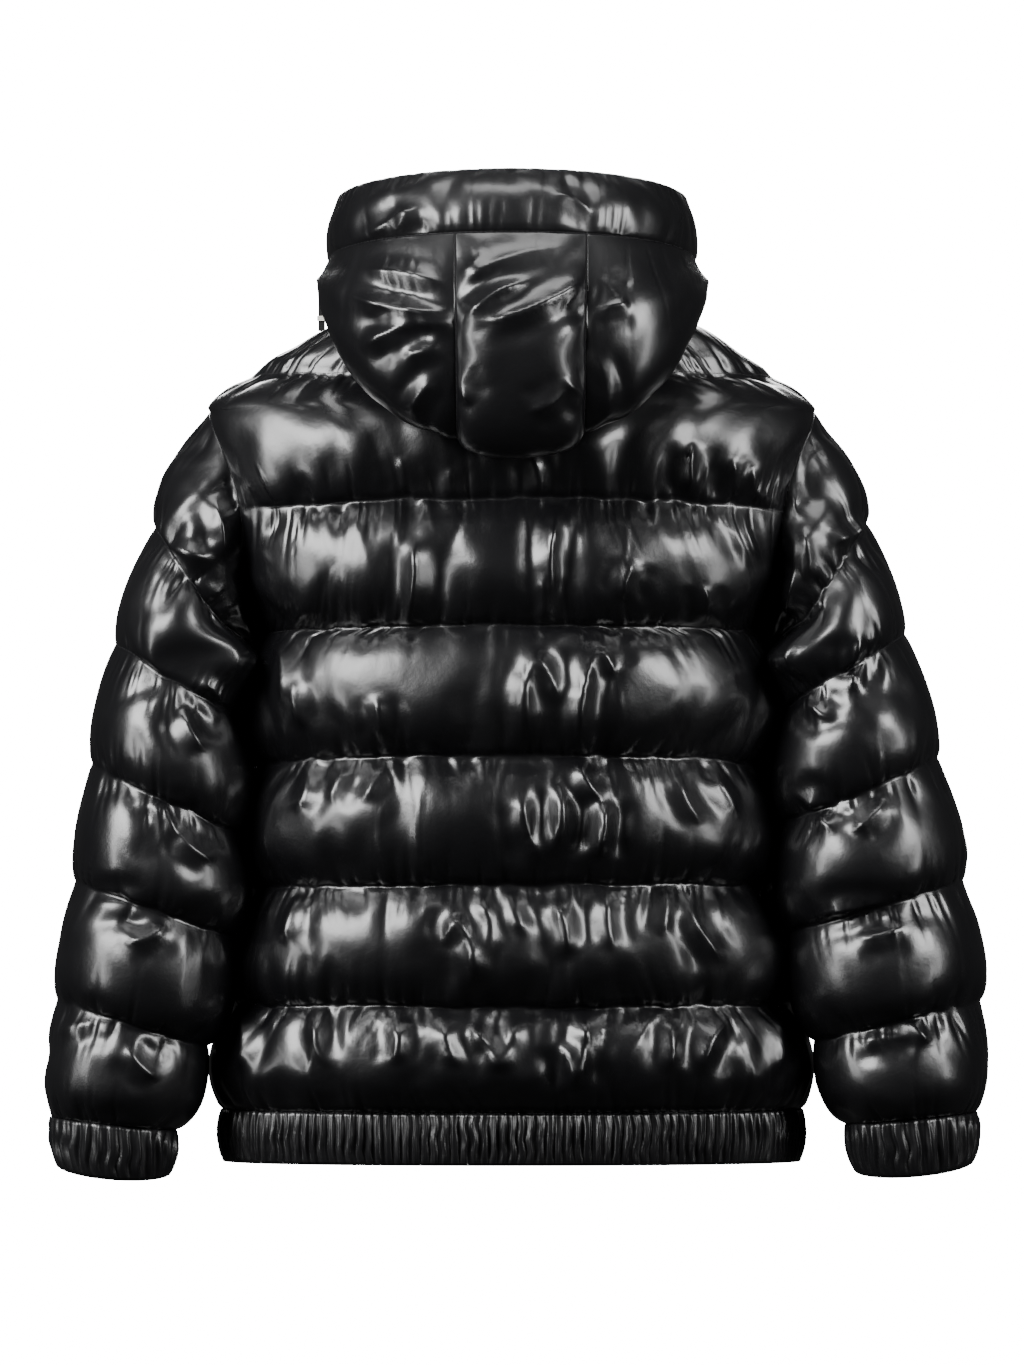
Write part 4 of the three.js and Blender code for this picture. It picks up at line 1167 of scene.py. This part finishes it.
class JACKET_OT_body(bpy.types.Operator):
    """Make the back and the two fronts"""

    bl_idname = "jacket.body"
    bl_label = "Body"

    def execute(self, context):
        row = even_rows(BODY_GRID)
        across = np.linspace(-1, 1, BACK_ACROSS)
        base = body_points(across, row, True)
        outward = body_outward(base, across, row, True)
        loft = body_wall(base, across, row, True)
        back = Quilted("back_panel", base, outward, loft, seam_rows(row), seed=11)
        back.nodes = ("back",)
        back.folds = BACK_FOLDS
        across = np.linspace(0, 1, FRONT_ACROSS)
        base = body_points(across, row, False)
        outward = body_outward(base, across, row, False)
        loft = body_wall(base, across, row, False)
        for side, name, seed in ((1, "left", 23), (-1, "right", 37)):
            turned = base * (side, 1, 1)
            out = outward * (side, 1, 1)
            panel = Quilted(f"front_panel_{name}", turned, out, loft, seam_rows(row), seed=seed)
            panel.nodes = (f"front_{name}",)
        return {"FINISHED"}


class JACKET_OT_sleeves(bpy.types.Operator):
    """Make the two sleeves"""

    bl_idname = "jacket.sleeves"
    bl_label = "Sleeves"

    def execute(self, context):
        angle = np.linspace(0, 2 * np.pi, SLEEVE_AROUND, endpoint=False)
        row = even_rows(SLEEVE_GRID)
        for side, name, rings, seed in ((1, "left", LEFT_SLEEVE, 5), (-1, "right", RIGHT_SLEEVE, 8)):
            stations = [armhole_points(angle)] + [sleeve_ring(rings, k, angle) for k in range(6)]
            base = spline(np.stack(stations), row, True)
            own = grid_outward(base, -1, ring=True)
            top = np.broadcast_to(armhole_outward(angle), own.shape)
            own = mix(own, top, (np.clip(1 - row, 0, 1) ** 3)[:, None, None])
            end = np.broadcast_to(ring_outward(rings, 5, angle), own.shape)
            own = unit(mix(own, end, (np.clip(row - 5, 0, 1) ** 6)[:, None, None]))
            height, t = row_lengths(base, row, 6)
            under_arm = mix(SLEEVE_ARM_LOFT, SLEEVE_INNER_LOFT, np.clip(row - 0.5, 0, 1))
            on_line = np.where(
                np.cos(angle) > 0,
                rings["loft"][np.minimum(np.floor(row), 5).astype(int)][:, None],
                under_arm[:, None],
            )
            loft = mix(on_line, SLEEVE_SIDE_LOFT, np.sin(angle)[None, :] ** 2)
            loft = np.minimum(loft, PUFF_SLOPE * height) * puff(t)[:, None]
            base = base * (side, 1, 1)
            own = own * (side, 1, 1)
            named, seams = f"sleeve_{name}_panel", seam_rows(row)
            sleeve = Quilted(named, base, own, loft, seams, ring=True, seed=seed)
            sleeve.nodes = (f"sleeve_{name}",)
            sleeve.folds = SLEEVE_FOLDS
            inner_side = np.clip((-np.cos(angle) - 0.5) * 3, 0, 1)
            sleeve.calm = np.broadcast_to(1 - inner_side, loft.shape)
        return {"FINISHED"}


class JACKET_OT_hood(bpy.types.Operator):
    """Make the hood's three crown panels and its rim band"""

    bl_idname = "jacket.hood"
    bl_label = "Hood"

    def execute(self, context):
        row = even_rows(HOOD_GRID)
        panels = (
            ("centre", HOOD_SEAM_RIGHT, HOOD_SEAM_LEFT, 30, 41),
            ("left", HOOD_SEAM_LEFT, 180, 104, 43),
            ("right", -180, HOOD_SEAM_RIGHT, 100, 47),
        )
        for name, start, end, count, seed in panels:
            turn = np.linspace(start, end, count)
            base = hood_points(turn, row)
            outward = hood_outward(base, turn, row)
            share = np.abs((turn - start) / (end - start) * 2 - 1)
            ring_loft = np.maximum(along(HOOD_RINGS, "row", row, "loft"), 0)
            loft = ring_loft[:, None] * (1 - share[None, :] ** 6)
            seams = np.array([0, len(row) - 1])
            named = f"hood_{name}_panel"
            shape = {"inner_step": (8, 6), "crumple": 0.6, "slack": 1.2}
            panel = Quilted(named, base, outward, loft, seams, seed=seed, **shape)
            panel.nodes = (f"hood_{name}",)
            panel.folds = HOOD_FOLDS
            at_rear = np.clip(row - 4.6, 0, 1)
            panel.calm = np.broadcast_to(at_rear[:, None], loft.shape)
        turn = np.linspace(-180, 180, BAND_GRID[1])
        row = np.linspace(BAND_RING, RIM_RING, BAND_GRID[0])
        base = hood_points(turn, row)
        outward = hood_outward(base, turn, row)
        t = mix(1, 0.06, row - BAND_RING)[:, None]
        to_zip = 1 - (np.abs(turn) / 180) ** 24
        at_side = np.abs(np.sin(np.radians(turn))) ** 4
        loft = mix(BAND_LOFT, BAND_SIDE_LOFT, at_side) * to_zip * puff(t)
        seams = np.array([0, len(row) - 1])
        band = Quilted(
            "hood_rim_band",
            base,
            outward,
            loft,
            seams,
            seed=53,
            inner_step=(6, 6),
            crumple=0.4,
            slack=0.4,
        )
        band.nodes = ("hood_band",)
        band.folds = BAND_FOLDS
        return {"FINISHED"}


class JACKET_OT_filling(bpy.types.Operator):
    """Blow up every padded piece between its seams, all in one simulation"""

    bl_idname = "jacket.filling"
    bl_label = "Filling"

    def execute(self, context):
        scene = context.scene
        scene.frame_start = 1
        scene.frame_end = SIM_FRAMES
        for panel in Quilted.every:
            panel.fill(scene.jacket)
        for number in range(1, SIM_FRAMES + 1):
            scene.frame_set(number)
        for panel in Quilted.every:
            panel.settle()
        scene.frame_set(1)
        named = {panel.name: panel for panel in Quilted.every}
        body = [named[name] for name in ("back_panel", "front_panel_left", "front_panel_right")]
        for side, name in ((1, "sleeve_left_panel"), (-1, "sleeve_right_panel")):
            sleeve = named[name]
            sleeve.surface = tucked(sleeve.surface, side)
            rows = (SLEEVE_CLEAR_ROW, sleeve.seams[-1])
            sleeve.keep_clear(body, rows, below=SLEEVE_CLEAR_BELOW)
        for name in ("hood_centre_panel", "hood_left_panel", "hood_right_panel"):
            hood = named[name]
            hood.keep_clear(body[:1], HOOD_CLEAR_ROWS)
        for panel in Quilted.every:
            panel.refine(scene.jacket)
            finish_soft(panel.piece, Finishes.get("cloth"))
            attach(panel.piece, BODY)
            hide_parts(*panel.nodes)
        return {"FINISHED"}


def gathered_loft(shape, gathers, seed):
    """Uneven ridges and troughs of cloth gathered on elastic, from about -1 to 1."""
    rows, columns = shape
    place = np.linspace(0, gathers * 2 * np.pi, columns)
    t = np.linspace(0, 1, rows)[:, None]
    drift = 1.3 * noise_field(shape, seed, (3, max(gathers // 3, 4)))
    strength = 0.75 + 0.35 * noise_field(shape, seed + 1, (3, max(gathers // 2, 4)))
    ridges = np.cos(place[None, :] + drift) * strength
    ridges += 0.35 * np.cos(2.3 * place[None, :] + 2 * drift + 1)
    return ridges, np.sin(np.pi * np.clip(t, 0.02, 0.98)) ** 0.55


class JACKET_OT_bands(bpy.types.Operator):
    """Make the gathered hem band and cuffs"""

    bl_idname = "jacket.bands"
    bl_label = "Gathered bands"

    def execute(self, context):
        self.hem()
        for side, name, rings, seed in ((1, "left", LEFT_SLEEVE, 61), (-1, "right", RIGHT_SLEEVE, 67)):
            self.cuff(side, name, rings, seed)
        return {"FINISHED"}

    def gathered(self, name, node, base, outward, gathers, ring, seed, flat):
        """A band gathered on elastic, from its plain inside."""
        ridges, swell = gathered_loft(base.shape[:2], gathers, seed)
        wall = mix(SEAM_WALL, GATHER_WALL + GATHER_HEIGHT * ridges, swell)
        outer = base + outward * wall[..., None]
        inner = sparse(base, (len(base) - 1, HIDDEN_STEP), ring)
        piece = closed_wall(name, outer, inner, ring)[0]
        finish_soft(piece, Finishes.get("gathered"))
        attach(piece, BODY)
        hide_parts(node)

    def hem(self):
        """The hem band, from one side of the zip round to the other."""
        top = BODY_ROWS["end"][-1]
        share = np.linspace(0, 1, 400)
        z = np.linspace(top - SEAM_GAP / 2, HEM_BOTTOM, HEM_GRID[0])[:, None]
        back = section_point(z, share[None, :], True)
        front = section_point(z, share[None, ::-1], False, ZIP_EDGE)
        half = np.concatenate([back, front[:, 1:]], 1)
        lines = np.concatenate([half[:, :0:-1] * (-1, 1, 1), half], 1)
        at = distances(lines[0])
        even = np.linspace(0, at[-1], HEM_GRID[1])
        base = np.stack([placed(line, at, even) for line in lines])
        tangent = np.gradient(base, axis=1)
        outward = unit(np.stack([-tangent[..., 1], tangent[..., 0], 0 * tangent[..., 0]], -1))
        outward[:, [0, -1]] = (0, -1, 0)
        flat = (GATHER_FULLNESS * at[-1] * MM, (top - HEM_BOTTOM) * MM)
        self.gathered("hem_gathers", "hem_band", base, outward, HEM_GATHERS, False, 71, flat)

    def cuff(self, side, name, rings, seed):
        """One cuff, all round the sleeve's end."""
        angle = np.linspace(0, 2 * np.pi, CUFF_GRID[1], endpoint=False)
        upper = sleeve_ring(rings, 5, angle)
        lower = sleeve_ring(rings, 6, angle, CUFF_DROP)
        t = np.linspace(0.004, 1, CUFF_GRID[0])[:, None, None]
        base = mix(upper[None], lower[None], t) * (side, 1, 1)
        outward = np.broadcast_to(ring_outward(rings, 5, angle), base.shape) * (side, 1, 1)
        around = np.linalg.norm(np.diff(upper, axis=0), axis=1).sum()
        flat = (GATHER_FULLNESS * around * MM, CUFF_HEIGHT * MM)
        node = f"cuff_{name}"
        self.gathered(f"{node}_gathers", node, base, outward, CUFF_GATHERS, True, seed, flat)


def path_tree(name, shape, sizes, material):
    """Geometry Nodes that lay copies of one small shape along every line of a piece."""
    tree = bpy.data.node_groups.new(name, "GeometryNodeTree")
    tree.is_modifier = True
    face = tree.interface
    face.new_socket("Lines", in_out="INPUT", socket_type="NodeSocketGeometry")
    for label, value in (("Pitch", sizes["pitch"]), ("Width", sizes["width"]), ("Length", sizes["length"])):
        socket = face.new_socket(label, in_out="INPUT", socket_type="NodeSocketFloat")
        socket.default_value = value
    face.new_socket("Pieces", in_out="OUTPUT", socket_type="NodeSocketGeometry")
    given = add_node(tree, "NodeGroupInput")
    lines = add_node(tree, "GeometryNodeMeshToCurve", links={"Mesh": given.outputs["Lines"]})
    even = add_node(
        tree,
        "GeometryNodeResampleCurve",
        links={"Curve": lines.outputs["Curve"], "Length": given.outputs["Pitch"]},
        mode="LENGTH",
    )
    if shape == "thread":
        copy = add_node(
            tree,
            "GeometryNodeMeshCylinder",
            {"Vertices": 6, "Side Segments": 1, "Fill Segments": 1},
            {"Radius": given.outputs["Width"], "Depth": given.outputs["Length"]},
        )
    else:
        size = add_node(
            tree,
            "ShaderNodeCombineXYZ",
            links={"X": given.outputs["Width"], "Y": given.outputs["Length"], "Z": given.outputs["Length"]},
        )
        copy = add_node(tree, "GeometryNodeMeshCube", links={"Size": size.outputs["Vector"]})
    tangent = add_node(tree, "GeometryNodeInputTangent")
    turn = add_node(
        tree, "FunctionNodeAlignRotationToVector", links={"Vector": tangent.outputs["Tangent"]}, axis="Z"
    )
    uneven = add_node(tree, "FunctionNodeRandomValue", data_type="FLOAT")
    uneven.inputs[2].default_value = 0.9
    uneven.inputs[3].default_value = 1.1
    uneven.inputs["Seed"].default_value = 4
    laid = add_node(
        tree,
        "GeometryNodeInstanceOnPoints",
        links={
            "Points": even.outputs["Curve"],
            "Instance": copy.outputs["Mesh"],
            "Rotation": turn.outputs["Rotation"],
            "Scale": uneven.outputs[1],
        },
    )
    real = add_node(tree, "GeometryNodeRealizeInstances", links={"Geometry": laid.outputs["Instances"]})
    done = add_node(
        tree, "GeometryNodeSetMaterial", {"Material": material}, {"Geometry": real.outputs["Geometry"]}
    )
    add_node(tree, "NodeGroupOutput", links={"Pieces": done.outputs["Geometry"]})
    return tree


def lay_along(name, lines, shape, sizes, material):
    """A plain mesh of copies of a small shape along lines of points in millimetres."""
    points, edges = [], []
    for line, closed in lines:
        first = len(points)
        points.extend(line)
        edges.extend((first + k, first + k + 1) for k in range(len(line) - 1))
        if closed:
            edges.append((len(points) - 1, first))
    guide = new_object(name + "_lines", np.array(points), [], edges)
    tree = path_tree(name + "_nodes", shape, sizes, material)
    nodes = guide.modifiers.new("Laid", "NODES")
    nodes.node_group = tree
    inputs = {item.name: item.identifier for item in tree.interface.items_tree if item.in_out == "INPUT"}
    for label in ("Pitch", "Width", "Length"):
        nodes[inputs[label]] = sizes[label.lower()]
    depsgraph = bpy.context.evaluated_depsgraph_get()
    mesh = bpy.data.meshes.new_from_object(guide.evaluated_get(depsgraph))
    mesh.name = name
    piece = bpy.data.objects.new(name, mesh)
    bpy.context.scene.collection.objects.link(piece)
    bpy.data.objects.remove(guide)
    return piece


class JACKET_OT_stitches(bpy.types.Operator):
    """Sew the rows of quilting and the seams with single stitches"""

    bl_idname = "jacket.stitches"
    bl_label = "Stitches"

    def execute(self, context):
        named = {panel.name: panel for panel in Quilted.every}
        lines = []
        for panel in Quilted.every:
            if panel.name.startswith("hood"):
                continue
            inner = [k for k in panel.seams if 0 < k < panel.loft.shape[0] - 1]
            if panel.ring:
                inner = [0, *inner]
            lines.extend((self.on_top(panel)[k], panel.ring) for k in inner)
        centre = self.on_top(named["hood_centre_panel"])
        lines.extend((centre[:, k], False) for k in (0, -1))
        lines.append((self.on_top(named["hood_rim_band"])[0], False))
        sizes = context.scene.jacket
        length = sizes.stitch
        piece = lay_along(
            "seam_stitches",
            lines,
            "thread",
            {"pitch": 1.3 * length, "width": 0.09 * length, "length": length},
            Finishes.get("thread"),
        )
        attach(piece, BODY)
        return {"FINISHED"}

    def on_top(self, panel):
        """Where thread lies on a panel's cloth."""
        return panel.surface + panel.outward * THREAD_LIFT


class JACKET_OT_teeth(bpy.types.Operator):
    """Set the zip's teeth along both of its tapes"""

    bl_idname = "jacket.teeth"
    bl_label = "Zip teeth"

    def execute(self, context):
        pitch = context.scene.jacket.tooth / MM
        row = np.arange(7, 0, -0.1)
        body = body_points(np.array([0.0]), row, False)[:, 0]
        hood = hood_points(np.array([180.0]), np.linspace(0, RIM_RING, 60))[:, 0]
        centre = np.concatenate([section_point([HEM_BOTTOM + 2.0], [0.0], False), body, hood])
        slope = np.gradient(centre, axis=0)
        out = unit(np.stack([0 * slope[:, 0], -slope[:, 2], slope[:, 1]], -1))
        centre = centre * (0, 1, 1) + out * ZIP_FACE
        lines = []
        at = distances(centre)
        for side in (-1, 1):
            start = 0 if side < 0 else pitch / 2
            line = placed(centre, at, np.arange(start, at[-1] - pitch, pitch))
            lines.append((line + (side * TOOTH_SIDE, 0, 0), False))
        piece = lay_along(
            "zip_teeth",
            lines,
            "tooth",
            {"pitch": pitch * MM, "width": 0.0026, "length": 0.0012},
            Finishes.get("metal"),
        )
        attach(piece, BODY)
        return {"FINISHED"}


class JACKET_OT_hardware(bpy.types.Operator):
    """Finish the zip, its slider and pull, and the hood's small tab"""

    bl_idname = "jacket.hardware"
    bl_label = "Zip and tab"

    def execute(self, context):
        looks = {
            "zip": "tape",
            "zip_slider": "metal",
            "zip_pull": "metal",
            "hood_tab": "tape",
            "hood_tab_band": "pale",
        }
        for node, look in looks.items():
            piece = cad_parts[node]
            piece.data.materials.clear()
            piece.data.materials.append(Finishes.get(look))
        return {"FINISHED"}


class JACKET_OT_stage(bpy.types.Operator):
    """Set the pale floor, the soft lights and the camera"""

    bl_idname = "jacket.stage"
    bl_label = "Stage"

    def execute(self, context):
        self.floor()
        self.lights()
        self.camera(context)
        return {"FINISHED"}

    def floor(self):
        """A pale round floor with a painted glow that grows towards its rim and fades it to white, inside a
        plain white tent for the camera.
        """
        floor_paint_and_glow, tree, shader = new_material("Pale studio floor with painted glow", "")
        shader.inputs["Base Color"].default_value = linear("#f2f2f0")
        shader.inputs["Roughness"].default_value = 0.9
        # Painted glow: the floor's emission rises from nothing at 0.6 m out to a strength of 4 at 3.2 m, so
        # its rim shines white
        shader.inputs["Emission Color"].default_value = (1, 1, 1, 1)
        place = add_node(tree, "ShaderNodeTexCoord")
        away = add_node(
            tree, "ShaderNodeVectorMath", {1: (1, 1, 0)}, {0: place.outputs["Object"]}, operation="MULTIPLY"
        )
        reach = add_node(tree, "ShaderNodeVectorMath", links={0: away.outputs[0]}, operation="LENGTH")
        lit = add_node(
            tree,
            "ShaderNodeMapRange",
            {"From Min": 0.6, "From Max": 3.2, "To Min": 0.0, "To Max": 4.0},
            {"Value": reach.outputs["Value"]},
            interpolation_type="SMOOTHSTEP",
        )
        tree.links.new(lit.outputs["Result"], shader.inputs["Emission Strength"])
        turn = np.linspace(0, 2 * np.pi, 96, endpoint=False)
        across, along_it = FLOOR_RADIUS * np.cos(turn), FLOOR_RADIUS * np.sin(turn)
        rim = np.stack([across, along_it, np.full(96, float(FLOOR_HEIGHT))], -1)
        floor = new_object("studio_floor", rim, [list(range(96))])
        floor.data.materials.append(floor_paint_and_glow)
        floor.visible_glossy = floor.visible_diffuse = False
        white = bpy.data.materials.new("White tent cloth")
        white.use_nodes = True
        tree = white.node_tree
        tree.nodes.clear()
        glow = add_node(tree, "ShaderNodeEmission", {"Color": (1, 1, 1, 1), "Strength": TENT_GLOW})
        add_node(tree, "ShaderNodeOutputMaterial", links={"Surface": glow.outputs[0]})
        around = np.linspace(0, 2 * np.pi, 64, endpoint=False)
        levels = np.linspace(-np.pi / 2 + 0.02, np.pi / 2 - 0.02, 33)
        a, e = np.meshgrid(around, levels)
        ball = TENT_RADIUS * np.stack([np.cos(e) * np.cos(a), np.cos(e) * np.sin(a), np.sin(e)], -1)
        numbers = np.arange(a.size).reshape(a.shape)
        faces = grid_faces(numbers, True, False) + [numbers[0].tolist(), numbers[-1, ::-1].tolist()]
        tent = new_object("studio_tent", ball.reshape(-1, 3), faces)
        smooth(tent)
        tent.data.materials.append(white)
        tent.visible_glossy = tent.visible_diffuse = False
        tent.visible_shadow = tent.visible_transmission = False

    def light(self, name, azimuth, elevation, distance, size, power):
        """A soft rectangular lamp that is aimed at the jacket."""
        data = bpy.data.lights.new(name, "AREA")
        data.shape = "RECTANGLE"
        data.size, data.size_y = size
        data.energy = power
        lamp = bpy.data.objects.new(name, data)
        aim = Vector((0, 0, -0.3))
        flat = distance * math.cos(math.radians(elevation))
        lamp.location = aim + Vector(
            (
                flat * math.sin(math.radians(azimuth)),
                flat * math.cos(math.radians(azimuth)),
                distance * math.sin(math.radians(elevation)),
            )
        )
        lamp.rotation_euler = (aim - lamp.location).to_track_quat("-Z", "Y").to_euler()
        bpy.context.scene.collection.objects.link(lamp)
        return lamp

    def lights(self):
        for lamp in LAMPS:
            self.light(*lamp)
        world = bpy.data.worlds.new("Studio")
        world.use_nodes = True
        world.node_tree.nodes["Background"].inputs[0].default_value = (1, 1, 1, 1)
        world.node_tree.nodes["Background"].inputs[1].default_value = 0.03
        bpy.context.scene.world = world

    def camera(self, context):
        """A far camera whose frame at the jacket is the photograph's, at 0.82 mm a pixel."""
        frame_height = PHOTO_ROWS * PHOTO_SCALE * MM
        data = bpy.data.cameras.new("Camera")
        data.sensor_fit = "AUTO"
        data.sensor_width = 36
        data.lens = 36 * CAMERA_DISTANCE / frame_height
        data.clip_end = 50
        camera = bpy.data.objects.new("Camera", data)
        middle = (PHOTO_ZERO_ROW - PHOTO_ROWS / 2) * PHOTO_SCALE * MM
        camera.location = (0, CAMERA_DISTANCE, middle)
        camera.rotation_euler = (math.pi / 2, 0, math.pi)
        context.scene.collection.objects.link(camera)
        context.scene.camera = camera


OPERATORS = (
    JACKET_OT_body,
    JACKET_OT_sleeves,
    JACKET_OT_hood,
    JACKET_OT_filling,
    JACKET_OT_bands,
    JACKET_OT_stitches,
    JACKET_OT_teeth,
    JACKET_OT_hardware,
    JACKET_OT_stage,
)


class JACKET_PT_panel(bpy.types.Panel):
    """The jacket's sizes and pieces"""

    bl_label = "Puffer jacket"
    bl_idname = "JACKET_PT_panel"
    bl_space_type = "VIEW_3D"
    bl_region_type = "UI"
    bl_category = "Jacket"

    def draw(self, context):
        sizes = context.scene.jacket
        for name in ("cloth_colour", "roughness", "pressure", "fullness", "gathers", "stitch", "tooth"):
            self.layout.prop(sizes, name)
        for operator in OPERATORS:
            self.layout.operator(operator.bl_idname)


CLASSES = (JacketSizes, *OPERATORS, JACKET_PT_panel)


def register():
    for item in CLASSES:
        bpy.utils.register_class(item)
    bpy.types.Scene.jacket = bpy.props.PointerProperty(type=JacketSizes)


def unregister():
    del bpy.types.Scene.jacket
    for item in reversed(CLASSES):
        bpy.utils.unregister_class(item)


def main():
    """Builds the jacket."""
    register()
    for operator in OPERATORS:
        group, name = operator.bl_idname.split(".")
        result = getattr(getattr(bpy.ops, group), name)()
        if "FINISHED" not in result:
            raise RuntimeError(f"{operator.bl_idname} did not finish")


if __name__ == "__main__":
    main()
